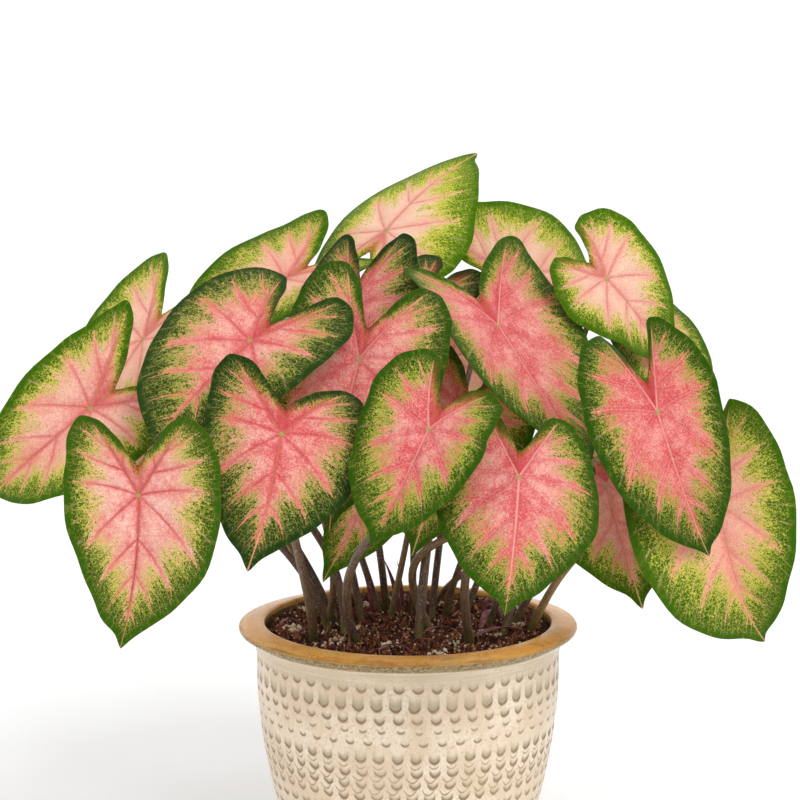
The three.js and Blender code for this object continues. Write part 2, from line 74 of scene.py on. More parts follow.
class Field:
    """The output of a shader node, with arithmetic."""

    def __init__(self, tree, socket):
        self.tree = tree
        self.socket = socket

    def maths(self, operation, *values):
        node = self.tree.nodes.new("ShaderNodeMath")
        node.operation = operation
        for place, value in enumerate(values):
            feed(node.inputs[place], value)
        return Field(self.tree, node.outputs[0])

    def __add__(self, other):
        return self.maths("ADD", self, other)

    def __radd__(self, other):
        return self.maths("ADD", other, self)

    def __sub__(self, other):
        return self.maths("SUBTRACT", self, other)

    def __rsub__(self, other):
        return self.maths("SUBTRACT", other, self)

    def __mul__(self, other):
        return self.maths("MULTIPLY", self, other)

    def __rmul__(self, other):
        return self.maths("MULTIPLY", other, self)

    def __truediv__(self, other):
        return self.maths("DIVIDE", self, other)

    def __pow__(self, other):
        return self.maths("POWER", self, other)

    def __abs__(self):
        return self.maths("ABSOLUTE", self)

    def at_least(self, other):
        return self.maths("MAXIMUM", self, other)

    def at_most(self, other):
        return self.maths("MINIMUM", self, other)

    def above(self, other):
        return self.maths("GREATER_THAN", self, other)

    def part(self):
        """What is left after the whole number is taken away."""
        return self.maths("FRACT", self)

    def ease(self, start, end):
        """0 at start, 1 at end, with a soft step between. Start may be the larger."""
        node = self.tree.nodes.new("ShaderNodeMapRange")
        node.interpolation_type = "SMOOTHSTEP"
        feed(node.inputs["Value"], self)
        feed(node.inputs["From Min"], min(start, end))
        feed(node.inputs["From Max"], max(start, end))
        eased = Field(self.tree, node.outputs["Result"])
        return 1 - eased if start > end else eased


print("pink as linear light:", tuple(round(c, 3) for c in colour("ee8e8d")))

# %% [markdown]
# ## A new material
# Every finish here starts as one Principled shader. A second small class makes it and holds the
# few nodes that all the finishes share: noise, cells, bump, a blend of two colours, and the
# numbers that a mesh carries. Any other node comes from one method, which takes its type, its
# settings and its inputs. A picture could be wrapped round each piece instead, but it would blur
# near by, and it fits only the mesh that it was painted for.

# %% A material with one shader
class Paint:
    """A new material with one Principled shader."""

    def __init__(self, name):
        self.material = bpy.data.materials.new(name)
        self.material.use_nodes = True
        self.tree = self.material.node_tree
        self.shader = self.tree.nodes["Principled BSDF"]

    def node(self, kind, settings, inputs, output=0):
        made = self.tree.nodes.new(kind)
        for key, value in settings.items():
            setattr(made, key, value)
        for key, value in inputs.items():
            feed(made.inputs[key], value)
        return Field(self.tree, made.outputs[output])

    def split(self, value, kind="XYZ"):
        """The three numbers of a vector, or of a colour."""
        return [self.node("ShaderNodeSeparate" + kind, {}, {0: value}, i) for i in range(3)]

    def measured(self, attribute):
        """Three numbers that the mesh carries at each of its points."""
        vector = self.node("ShaderNodeAttribute", {"attribute_name": attribute}, {}, "Vector")
        return vector, *self.split(vector)

    def place(self):
        """Where a point is on the object."""
        return self.node("ShaderNodeTexCoord", {}, {}, "Object")

    def vector(self, x, y, z):
        return self.node("ShaderNodeCombineXYZ", {}, {0: x, 1: y, 2: z})

    def moved(self, vector, by):
        return self.node("ShaderNodeVectorMath", {"operation": "ADD"}, {0: vector, 1: by})

    def stretched(self, vector, by):
        return self.node("ShaderNodeVectorMath", {"operation": "MULTIPLY"}, {0: vector, 1: by})

    def noise(self, where, scale, detail=2.0, roughness=0.5):
        return self.node("ShaderNodeTexNoise", {}, {
            "Vector": where, "Scale": scale, "Detail": detail, "Roughness": roughness})

    def cells(self, where, scale, feature="F1", output="Distance"):
        return self.node("ShaderNodeTexVoronoi", {"feature": feature}, {
            "Vector": where, "Scale": scale}, output)

    def blend(self, share, first, second):
        """The first colour where share is 0 and the second where it is 1."""
        made = self.tree.nodes.new("ShaderNodeMix")
        made.data_type = "RGBA"
        for place, value in ((0, share), (6, first), (7, second)):
            feed(made.inputs[place], value)
        return Field(self.tree, made.outputs[2])

    def bump(self, height, distance, strength):
        return self.node("ShaderNodeBump", {}, {
            "Height": height, "Distance": distance, "Strength": strength}, "Normal")

    def set(self, **values):
        """Feeds the shader. Underscores stand for the spaces in its inputs' names."""
        for key, value in values.items():
            feed(self.shader.inputs[key.replace("_", " ")], value)
        return self.material


print("shared nodes:", [name for name in vars(Paint) if not name.startswith("_")])

# %% [markdown] ## From points to pieces Every piece is a mesh of points and faces in metres,
# with its place in its vertices, so its object can stay at the origin. Modelling by hand could
# give the same shapes, but points from formulas can be changed by one number and come out the
# same each time.

# %% Make a piece
def shape_of(name, points, faces, materials=()):
    """A smooth-shaded mesh."""
    mesh = bpy.data.meshes.new(name)
    mesh.from_pydata([tuple(p) for p in points], [], [tuple(int(i) for i in f) for f in faces])
    mesh.polygons.foreach_set("use_smooth", [True] * len(mesh.polygons))
    for material in materials:
        mesh.materials.append(material)
    return mesh


def put_in_scene(name, data):
    thing = bpy.data.objects.new(name, data)
    bpy.context.scene.collection.objects.link(thing)
    return thing


def make_piece(name, points, faces, materials, stands_for=(), shades=None, measures=None):
    mesh = shape_of(name, points, faces, materials)
    for key, values in (measures or {}).items():
        attribute = mesh.attributes.new(key, "FLOAT_VECTOR", "POINT")
        attribute.data.foreach_set("vector", np.asarray(values, np.float32).ravel())
    if shades is not None:
        mesh.polygons.foreach_set("material_index", [int(s) for s in shades])
    mesh.update()
    piece = put_in_scene(name, mesh)
    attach(piece, "root")
    if stands_for:
        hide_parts(*stands_for)
    return piece


def bezier(points, shares):
    """Places along a Bezier curve with any number of handles."""
    points = [np.asarray(p, float) for p in points]
    shares = np.asarray(shares, float)[:, None]
    order = len(points) - 1
    return sum(math.comb(order, i) * shares ** i * (1 - shares) ** (order - i) * p
               for i, p in enumerate(points))


def unit(vectors):
    """The same directions, each one long."""
    return vectors / np.linalg.norm(vectors, axis=-1, keepdims=True)


print("half way along a bent line:", bezier([(0, 0), (1, 1), (2, 0)], [0.5])[0])

# %% [markdown]
# ## The leaves, one row each
# A caladium blade is a heart that hangs from its stalk near the notch. Leaves could be scattered by a
# rule, but no two of these sit alike, so each has a row of its own. It holds the stalk's meeting point
# (the hub), the way the tip points, how far it dips and rolls, its sizes (the right side before the left),
# and how it folds, arches, droops, curls and sways. Then comes the stalk: its foot, its first and last
# handle, and its radius. The tint is [paleness, reach of the pink, darkness of the veins, how much light
# comes through, warmth of the pink, painted shade that darkens the green].

# %% Leaf table
LEAF_KEYS = ("hub", "heading", "dip", "roll", "length", "half", "lobe", "spread", "fold", "arch",
             "bend", "curl", "sway", "foot", "rise", "reach", "stem", "tint")
LEAF_ROWS = {
    "front_left": ([-167, -210, 326], -95, 90, -1, 102, [48, 58], 54, [.6, .6],
                   [-.05, .6], -.05, 10, [-30, 0], .15,
                   [-61, 21], [-20, 27, 57], [87, 78, 10], 2.6, [1.0, .0, .85, .1, .0, .35]),
    "front_mid_left": ([-79, -204, 363], -101, 54, -7, 93, [51, 52], 51, [.7, .7],
                       [.25, -.2], .3, 5, [-15, 20], .1,
                       [-65, -32], [2, -38, 64], [-2, 41, -68], 3.4, [.35, -.03, .8, 0, .1, .95]),
    "front_mid": ([12, -220, 369], -159, 62, -16, 83, [45, 44], 42, [.5, .5],
                  [.6, -.2], .1, 5, [20, 30], .05,
                  [-30, -40], [-41, -55, 107], [-5, 17, -70], 3.4, [.2, -.08, .25, 0, .0, .15]),
    "front_mid_right": ([67, -224, 340], -96, 52, -6, 93, [53, 54], 52, [.45, .45],
                        [-.05, -.35], .35, 5, [5, 5], .05,
                        [45, -39], [-9, -35, 59], [-40, 72, -67], 3.4, [.25, .01, .2, 0, .0, .22]),
    "front_right": ([158, -155, 369], -50, 64, 32, 112, [50, 45], 63, [.35, .35],
                    [.25, 0], .05, 60, [40, 5], -.15,
                    [25, -15], [-62, -27, 116], [-120, 83, -129], 3, [.0, .02, .2, 0, .2, .3]),
    "shoulder_left": ([-102, -130, 411], -139, 32, 1, 105, [62, 57], 62, [.5, .5],
                      [.6, -.15], .2, 5, [20, 5], -.05,
                      [-45, -31], [9, 35, 108], [-7, 43, -133], 3, [.45, -.06, .7, 0, .2, .9]),
    "far_left": ([-208, -110, 364], -162, 36, -53, 106, [45, 50], 65, [.8, .8],
                 [.35, .2], .1, 60, [-5, 10], .15,
                 [-52, -14], [-17, -20, 113], [36, 59, -60], 2.7, [.75, .02, .6, .35, .3, .0]),
    "centre_left": ([-32, -127, 399], -121, 62, -9, 114, [56, 57], 66, [.5, .5],
                    [.3, -.15], .1, 25, [20, 25], 0,
                    [-64, 8], [41, -24, 87], [-79, 97, -76], 2.6, [.5, .02, .4, 0, .1, .6]),
    "centre_right": ([60, -57, 412], -42, 47, -3, 124, [65, 68], 66, [.5, .8],
                     [0, .1], -.1, 5, [25, 0], -.05,
                     [6, -43], [14, 7, 242], [-2, 84, -110], 3.4, [.15, .06, .2, 0, .1, .15]),
    "centre_tall": ([-38, -20, 420], -124, 67, 5, 107, [54, 55], 56, [.5, .5],
                    [.1, .1], .15, 25, [25, 5], 0,
                    [-16, 47], [4, -14, 73], [-27, 100, -12], 2.8, [.35, -.06, .4, 0, .0, 1.0]),
    "centre_small": ([8, 5, 419], -156, 46, -11, 97, [49, 49], 41, [.55, .55],
                     [.15, .05], .15, 25, [15, 0], 0,
                     [-16, 22], [19, -23, 98], [15, 22, -61], 2.4, [.3, -.10, .4, 0, .0, 1.0]),
    "back_left": ([-182, -20, 397], -152, 50, -5, 115, [59, 58], 65, [.65, .65],
                  [.25, .1], .05, 10, [0, 10], 0,
                  [-47, 16], [-24, -14, 85], [41, 24, -68], 2.7, [.9, .0, .5, .7, .8, .0]),
    "upper_left": ([-89, 70, 429], -155, 25, -13, 107, [56, 54], 62, [.65, .65],
                   [.3, .1], .05, 20, [0, 10], 0,
                   [-29, 4], [-16, 6, 91], [16, -4, -73], 2.7, [.7, -.06, .4, .5, .9, .1]),
    "top": ([-16, 90, 462], 42, -41, 7, 110, [60, 57], 57, [.6, .6],
            [-.1, .05], .25, 25, [10, 5], 0,
            [5, -8], [23, 17, 132], [14, 1, -70], 2.7, [1.0, -.10, .45, 1.0, .8, .0]),
    "upper_back_right": ([74, 120, 429], 33, 1, 64, 109, [55, 55], 57, [.6, .6],
                         [.1, .2], .05, 30, [10, 10], 0,
                         [15, 14], [9, 16, 103], [-28, 5, -43], 2.7, [.9, -.01, .3, .9, .9, .0]),
    "upper_right": ([137, 0, 437], -1, 44, 29, 78, [43, 44], 38, [.6, .6],
                    [-.25, .6], .1, 30, [-15, 30], -.05,
                    [50, -3], [33, -10, 94], [-26, 9, -74], 2.7, [.9, .03, .45, .8, .6, .1]),
    "back_right": ([172, 40, 394], -40, 47, 3, 93, [47, 47], 49, [.6, .6],
                   [.1, .15], .1, 25, [10, 15], 0,
                   [61, -27], [23, 11, 77], [-46, 15, -55], 2.7, [.5, -.04, .3, .3, .3, .1]),
    "far_right": ([202, -119, 302], -59, 75, 39, 115, [59, 51], 69, [.35, .35],
                  [.6, -.2], -.1, 60, [10, 0], -.15,
                  [80, -9], [39, -40, 124], [-38, 57, -33], 3, [.7, -.11, .2, .35, 1.0, .15]),
    "low_right": ([132, -90, 309], -68, 57, 17, 88, [50, 46], 46, [.6, .6],
                  [0, .1], .15, 10, [10, 10], -.05,
                  [14, 48], [6, -7, 62], [-46, 61, -67], 2.4, [.5, .02, .3, .35, .4, .0]),
    "under_left": ([-8, -35, 329], -145, 57, -17, 110, [44, 50], 38, [.6, .3],
                   [.1, 0], .15, 5, [20, 25], .05,
                   [2, 40], [2, -26, 46], [14, 29, -44], 2.6, [.6, .0, .4, .1, .2, .1]),
    "under_mid": ([35, -51, 347], -127, 54, -13, 102, [53, 54], 54, [.6, .6],
                  [.15, .05], .15, 10, [10, 10], 0,
                  [25, 35], [1, -33, 61], [39, 40, -56], 2.7, [.5, -.04, .3, 0, .2, .2]),
    "rear_left": ([-169, 93, 329], 150, 48, -8, 108, [54, 53], 57, [.6, .6],
                  [.15, .1], .1, 30, [10, 10], .05,
                  [-44, 30], [-26, 6, 59], [31, -12, -45], 2.7, [.5, .0, .5, 0, .1, .3]),
    "rear_mid_left": ([-85, 160, 350], 118, 52, 6, 114, [57, 56], 60, [.6, .6],
                      [.15, .1], .1, 30, [10, 10], .05,
                      [-16, 29], [-15, 20, 61], [17, -29, -55], 2.7, [.3, .04, .2, 0, .2, .5]),
    "rear_mid": ([30, 185, 355], 84, 50, -5, 118, [59, 58], 63, [.6, .6],
                 [.15, .1], .1, 30, [10, 10], .05,
                 [10, 34], [1, 26, 64], [-3, -37, -56], 2.7, [.6, .0, .6, 0, .3, .1]),
    "rear_mid_right": ([125, 140, 345], 55, 50, 8, 112, [56, 55], 59, [.6, .6],
                       [.15, .1], .1, 30, [10, 10], .05,
                       [35, 31], [20, 17, 60], [-25, -22, -54], 2.7, [.2, .04, .1, 0, .0, .5]),
    "rear_right": ([165, 55, 320], 20, 50, -10, 100, [50, 49], 53, [.6, .6],
                   [.15, .1], .1, 30, [10, 10], .05,
                   [67, 3], [20, 4, 48], [-28, -9, -46], 2.7, [.5, .0, .4, 0, .4, .1]),
}
LEAVES = {name: dict(zip(LEAF_KEYS, row)) for name, row in LEAF_ROWS.items()}
print("leaves:", len(LEAVES))

# %% [markdown]
# ## The heart in the flat
# The outline is three Bezier curves on each side: tip to shoulder, shoulder to lobe, lobe to
# notch. A leaf never grows as true as a drawn curve, so the line is then drawn in a little,
# unevenly, and the tip is blunted. A step counts the way along it, from 0 at the tip to 14 in
# the notch.

# %% Outline
FLANK, LOBE_OUT, LOBE_IN = 24, 14, 14
SHOULDER_STEP, LOBE_STEP, LAST_STEP = 6, 10, 14
STEPS = np.concatenate([np.linspace(0, SHOULDER_STEP, FLANK + 1),
                        np.linspace(SHOULDER_STEP, LOBE_STEP, LOBE_OUT + 1)[1:],
                        np.linspace(LOBE_STEP, LAST_STEP, LOBE_IN + 1)[1:]])
NOTCH_DEPTH = 0.19
TIP_WAIST, TIP_BLUNTING = 1.8, 1.7


def smooth_outline(leaf, side, steps):
    """Points of one side's outline, at steps from the tip to the notch."""
    width, spread = leaf["half"][side], leaf["spread"][side]
    length, lobe = leaf["length"], leaf["lobe"]
    shoulder = (width, -0.04 * length)
    lobe_end = (spread * width, -lobe)
    notch = (0, -NOTCH_DEPTH * length)
    flank = [(0, length), (0.1 * width, 0.9 * length), (1.02 * width, 0.52 * length), shoulder]
    outer = [shoulder, (0.985 * width, shoulder[1] - 0.42 * (lobe + shoulder[1])),
             ((spread + 0.3) * width, -1.01 * lobe), lobe_end]
    inner = [lobe_end, (0.55 * spread * width, -0.99 * lobe),
             (0.12 * width, notch[1] - 0.16 * lobe), notch]
    out = bezier(flank, np.clip(steps / SHOULDER_STEP, 0, 1))
    for curve, start, end in ((outer, SHOULDER_STEP, LOBE_STEP), (inner, LOBE_STEP, LAST_STEP)):
        share = np.clip((steps - start) / (end - start), 0, 1)
        out = np.where((steps > start)[:, None], bezier(curve, share), out)
    return out


def outline_at(leaf, side, steps):
    """The outline as it grew: drawn in behind a blunt tip, and a little uneven."""
    steps = np.atleast_1d(np.asarray(steps, float))
    drawn = smooth_outline(leaf, side, steps)
    along = smooth_outline(leaf, side, steps + 0.02) - smooth_outline(leaf, side, steps - 0.02)
    along[steps < 0.03] = (1, 0)
    along /= np.maximum(np.linalg.norm(along, axis=1, keepdims=True), 1e-9)
    inwards = np.column_stack([along[:, 1], -along[:, 0]])
    start = 0.37 * leaf["hub"][0] + 2.1 * side
    uneven = 0.75 * (1 + np.sin(1.9 * steps + start)) + 0.45 * (1 + np.sin(4.3 * steps + 1.7 * start))
    held = np.sin(math.pi * np.clip(steps / LAST_STEP, 0, 1)) ** 0.5
    inset = uneven * held + TIP_WAIST * np.exp(-((steps - 1.3) / 0.6) ** 2)
    drawn = drawn + inwards * inset[:, None]
    drawn[:, 1] -= TIP_BLUNTING * np.exp(-steps / 0.35)
    return drawn


print("outline points on a side:", len(STEPS))

# %% [markdown]
# ## Veins
# A midrib runs from the hub to the tip, a strong vein into each lobe, and side veins branch from
# them to the margin. They could be thin tubes on the blade, but real ones are part of the skin.
# So the mesh only carries numbers for them, and the shader draws them: which two side veins a
# point lies between, how far apart those are, and how far it is from the lobe vein and the margin.

# %% Vein lines
# Side veins from the tip backwards: where each leaves the midrib (share of the length) or the
# lobe vein (share of it), the outline step it runs to, and how much it bows towards the tip.
MIDRIB_VEINS = [(0.70, 1.3, 0.10), (0.49, 2.15, 0.11), (0.27, 3.0, 0.11),
                (0.0, 4.15, 0.10), (0.0, 6.3, 0.08)]
LOBE_VEINS = [(0.30, 7.7, -0.06), (0.60, 8.9, -0.05)]
INNER_VEINS = [(0.36, 12.6, 0.05), (0.66, 11.5, 0.05)]
BENDS = np.linspace(0, 1, 13)
HUB = np.array([[0.0, 0.0]])


def bowed(start, end, bow):
    start, end = np.asarray(start, float), np.asarray(end, float)
    run = end - start
    across = np.array([run[1], -run[0]])
    return bezier([start, start + 0.55 * run + bow * across, end], BENDS)


def side_veins(leaf, side):
    lobe_end = outline_at(leaf, side, LOBE_STEP)[0] * 0.96

    def veins(rows, stem):
        return [bowed(stem * share, outline_at(leaf, side, step)[0], bow)
                for share, step, bow in rows]

    outer = veins(MIDRIB_VEINS, np.array([0, leaf["length"]])) + veins(LOBE_VEINS, lobe_end)
    return outer, veins(INNER_VEINS, lobe_end), lobe_end


def distance_to(line, points):
    """How far each point is from a line of straight parts."""
    start, run = line[:-1], np.diff(line, axis=0)
    length = np.maximum((run ** 2).sum(1), 1e-9)
    gap = points[:, None] - start[None]
    share = np.clip((gap * run[None]).sum(-1) / length[None], 0, 1)
    return np.linalg.norm(gap - share[..., None] * run[None], axis=-1).min(1)


def inside(polygon, points):
    """True for each point inside a closed outline."""
    a, b = polygon, np.roll(polygon, -1, axis=0)
    x, y = points[:, 0:1], points[:, 1:2]
    crosses = (a[None, :, 1] > y) != (b[None, :, 1] > y)
    rise = np.where(np.abs(b[:, 1] - a[:, 1]) < 1e-9, 1e-9, b[:, 1] - a[:, 1])
    at = a[None, :, 0] + (y - a[None, :, 1]) / rise[None] * (b[:, 0] - a[:, 0])[None]
    return (crosses & (x < at)).sum(1) % 2 == 1


print("side veins on a side:", len(MIDRIB_VEINS + LOBE_VEINS + INNER_VEINS))

# %% [markdown]
# ## Between which veins
# A point's phase is the number of veins it lies beyond plus the share of the way to the next
# one, so it is a whole number on each vein. Areas in front of the lobe vein are counted from the
# tip, and the strip behind it from the notch.

# %% Phase between the veins
def veins_passed(leaf, side, veins, rows, last_step, points):
    """How many of the veins each point lies beyond."""
    passed = np.zeros(len(points), int)
    for vein, (_, step, _) in zip(veins, rows):
        edge = outline_at(leaf, side, np.linspace(step, last_step, 40))
        passed += ~inside(np.concatenate([vein, edge, HUB]), points)
    return np.clip(passed, 0, len(veins))


def between(gaps, passed):
    """Veins passed plus the share of the way to the next one, and how far the two are apart."""
    here = np.arange(len(passed))
    first, second = gaps[here, passed], gaps[here, passed + 1]
    return passed + first / np.maximum(first + second, 1e-6), first + second


def vein_phase(leaf, side, points, steps):
    """Phase, spacing, distance to the lobe vein (above 0 behind it) and to the margin."""
    outer, inner, lobe_end = side_veins(leaf, side)
    nudged = points * 0.995 + np.array([[0.05, 0]])
    passed = veins_passed(leaf, side, outer, MIDRIB_VEINS + LOBE_VEINS, 0, nudged)
    tip_gap = np.linalg.norm(points - np.array([[0, leaf["length"]]]), axis=1)
    lobe_tip = distance_to(np.array([lobe_end * 0.6, lobe_end]), points)
    away = [distance_to(vein, points) for vein in outer]
    phase, spacing = between(np.column_stack([tip_gap, *away, lobe_tip]), passed)

    beyond = veins_passed(leaf, side, inner, INNER_VEINS, LAST_STEP, nudged)
    notch_line = np.array([[0.0, 0.0], [0.0, -NOTCH_DEPTH * leaf["length"]]])
    lobe_tip = distance_to(np.array([lobe_end * 0.66, lobe_end]), points)
    away = [distance_to(line, points) for line in (notch_line, *inner)]
    back_phase, back_spacing = between(np.column_stack([*away, lobe_tip]), beyond)

    behind = steps > LOBE_STEP + 1e-6
    lobe_gap = distance_to(np.array([[0, 0], lobe_end]), points)
    rim = outline_at(leaf, side, np.linspace(0, LAST_STEP, 113))
    return (np.where(behind, len(MIDRIB_VEINS) + back_phase, phase),
            np.where(behind, back_spacing, spacing),
            np.where(behind, 1, -1) * lobe_gap, distance_to(rim, points))


check = vein_phase(LEAVES["front_left"], 0, np.array([[20.0, 30.0], [20.0, -30.0]]),
                   np.array([3.0, 9.0]))
print("between veins:", np.round(check[0], 2), "spacing", np.round(check[1], 1), "mm")

# %% [markdown]
# ## Bending the heart
# The flat heart is folded along its midrib, arched across, drooped towards the tip and curled at the
# lobes. A simple deform modifier could bend it one way, but a leaf bends in several ways at once, and
# formulas keep it where its solid in model.glb is.

# %% Bent blade
def blade_axes(leaf):
    """Which way the tip, the right side and the face of a leaf point."""
    heading, dip, roll = (math.radians(leaf[key]) for key in ("heading", "dip", "roll"))
    level = np.array([math.cos(heading), math.sin(heading), 0.0])
    up = np.array([0.0, 0.0, 1.0])
    along = level * math.cos(dip) - up * math.sin(dip)
    face = level * math.sin(dip) + up * math.cos(dip)
    face = face * math.cos(roll) + np.cross(along, face) * math.sin(roll)
    return along, np.cross(along, face), face


def blade_points(leaf, flat, lift):
    """Flat points and their height over the sheet, bent into place."""
    along, right, face = blade_axes(leaf)
    u, v = flat[:, 0], flat[:, 1]
    left = (u < 0).astype(int)
    width = np.array(leaf["half"], float)[left]
    out = np.abs(u) / width
    height = width * (np.array(leaf["fold"], float)[left] * out - leaf["arch"] * out * out) + lift
    curl = np.array(leaf["curl"], float)[left] * v / leaf["lobe"]
    turn = np.radians(np.where(v >= 0, leaf["bend"] * v / leaf["length"], curl))
    half = np.where(np.abs(turn) < 1e-6, 1e-6, turn / 2)
    chord = v * np.sin(half) / half
    drift = leaf["sway"] * leaf["length"] * (np.maximum(v, 0) / leaf["length"]) ** 2
    return (np.array(leaf["hub"], float)
            + np.outer(chord * np.cos(turn / 2) + height * np.sin(turn), along)
            + np.outer(height * np.cos(turn) - chord * np.sin(turn / 2), face)
            + np.outer(u + drift, right))


print("the first leaf faces:", np.round(blade_axes(LEAVES["front_left"])[2], 2))

# %% [markdown]
# ## A net over the heart
# Rings of points run from the hub out to the margin, each the outline drawn smaller. They lie
# closer together near the hub, where the veins meet. Triangles between the rings make a net that
# follows the outline exactly, which an even grid would not.

# %% Net of points
BLADE_RINGS = 20
RINGS = np.append(np.linspace(0, 1, BLADE_RINGS + 1)[1:] ** 1.2, 1.0)
RINGS[-2] = 0.988
HUB_PHASE = 4.5


def flat_net(leaf):
    """For each point: its place, the share of the way out, its outline step and its side."""
    right = outline_at(leaf, 0, STEPS)
    left = outline_at(leaf, 1, STEPS)[1:-1][::-1] * [-1, 1]
    margin = np.concatenate([right, left])
    steps = np.concatenate([STEPS, STEPS[1:-1][::-1]])
    sides = np.repeat([0, 1], [len(right), len(left)])
    return (np.concatenate([HUB, *[margin * ring for ring in RINGS]]),
            np.append(0.0, np.repeat(RINGS, len(margin))),
            np.append(0.0, np.tile(steps, len(RINGS))),
            np.append(0, np.tile(sides, len(RINGS))), len(margin))


def net_faces(count):
    """Triangles round the hub and between the rings."""
    here = np.arange(count)
    after = (here + 1) % count
    faces = [np.column_stack([np.zeros(count, int), 1 + after, 1 + here])]
    for level in range(len(RINGS) - 1):
        inner, outer = 1 + level * count, 1 + (level + 1) * count
        faces.append(np.column_stack([inner + here, outer + after, outer + here]))
        faces.append(np.column_stack([inner + here, inner + after, outer + after]))
    return np.concatenate(faces), here, after


def vein_numbers(leaf, flat, step, side):
    """The four vein numbers of every point of a leaf."""
    numbers = np.zeros((len(flat), 4))
    for which in (0, 1):
        mine = side == which
        mirrored = np.column_stack([np.abs(flat[mine, 0]), flat[mine, 1]])
        numbers[mine] = np.column_stack(vein_phase(leaf, which, mirrored, step[mine]))
    numbers[0, 0] = HUB_PHASE
    return numbers.T


def point_normals(points, faces):
    corners = points[faces]
    across = np.cross(corners[:, 1] - corners[:, 0], corners[:, 2] - corners[:, 0])
    total = np.zeros_like(points)
    for corner in range(3):
        np.add.at(total, faces[:, corner], across)
    return unit(total)


print("points on one face of a leaf:", 1 + len(RINGS) * (2 * len(STEPS) - 2))

# %% [markdown]
# ## Blades
# The margin waves a little and the blade dimples along its veins, as if quilted. It is a real
# sheet with two faces, thinner at the margin, with ribs raised underneath, so light and shade are
# right from below as well. A Solidify modifier could thicken it, but not give the ribs.

# %% Make a blade
BLADE_THICKNESS = 0.8
RIB_HEIGHT = 1.0
QUILT = 0.6
WAVE_HEIGHT, WAVES_PER_SIDE, WAVE_STAGGER = 2.5, 2.6, 0.37
NEXT_PATTERN = 7.3


def margin_wave(index, side, share):
    swing = np.sin(2 * math.pi * (WAVES_PER_SIDE * share + (index + side) * WAVE_STAGGER))
    return WAVE_HEIGHT * swing * np.sqrt(np.sin(math.pi * np.clip(share, 0, 1)))


def make_blade(name, leaf, index, materials):
    flat, ring, step, side, count = flat_net(leaf)
    phase, spacing, lobe_gap, to_margin = vein_numbers(leaf, flat, step, side)
    midrib_gap = np.hypot(flat[:, 0], np.minimum(flat[:, 1], 0))
    side_gap = np.abs((phase + 0.5) % 1 - 0.5) * spacing
    main_gap = np.minimum(midrib_gap, np.abs(lobe_gap))

    wave = margin_wave(index, side, step / LAST_STEP) * ring ** 3
    valley = np.exp(-(np.minimum(main_gap, side_gap) / 3.2) ** 2)
    quilt = QUILT * (1 - 2.2 * valley) * np.sin(math.pi * ring)
    middle = blade_points(leaf, flat, wave + quilt)
    faces, here, after = net_faces(count)

    normals = point_normals(middle, faces)
    half = BLADE_THICKNESS / 2 * (1 - 0.45 * ring ** 12)[:, None]
    ridge = RIB_HEIGHT * (1 - ring) * np.maximum(np.exp(-(main_gap / 1.5) ** 2),
                                                0.6 * np.exp(-(side_gap / 1.2) ** 2))
    upper = middle + normals * half
    lower = middle - normals * (half + ridge[:, None])
    under = len(middle)
    rim = 1 + (len(RINGS) - 1) * count
    edge = np.concatenate([
        np.column_stack([rim + here, rim + after, under + rim + after]),
        np.column_stack([rim + here, under + rim + after, under + rim + here])])
    shell = np.concatenate([faces, under + faces[:, [0, 2, 1]], edge])
    shades = np.repeat([0, 1, 0], [len(faces), len(faces), len(edge)])

    def carried(*columns):
        """Three numbers for each point, the same on both faces."""
        return np.tile(np.column_stack([column + np.zeros(under) for column in columns]), (2, 1))

    pale, reach, dark, lit, warm, shade = leaf["tint"]
    from_notch = np.hypot(flat[:, 0], flat[:, 1] + NOTCH_DEPTH * leaf["length"])
    measures = {
        "flat": carried(flat[:, 0], flat[:, 1], 0),
        "veins": carried(phase, spacing, lobe_gap),
        "spot": carried(ring, to_margin, np.hypot(flat[:, 0], flat[:, 1])),
        "tint": carried(pale, reach, dark),
        "hue": carried(warm, shade, 0),
        "mark": carried(lit, index * NEXT_PATTERN, from_notch),
    }
    return make_piece(f"leaf_{name}", np.concatenate([upper, lower]) * MM, shell, materials,
                      [f"blade_{name}"], shades, measures)


print("thickness of a blade:", BLADE_THICKNESS, "mm")

# %% [markdown]
# ## Leaf colour: grain and distances
# A strawberry-pink heart bleeds out along the veins into a stippled cream and yellow-green
# zone, then a net-veined green one, and ends in a smooth dark green margin. All of it follows
# from three distances: how far out a point is, how near the closest vein is, and how near the
# margin is. Noise stretched along the veins gives the feathered look. The numbers are gathered
# first, under one name, so that the cells after this one can share them.

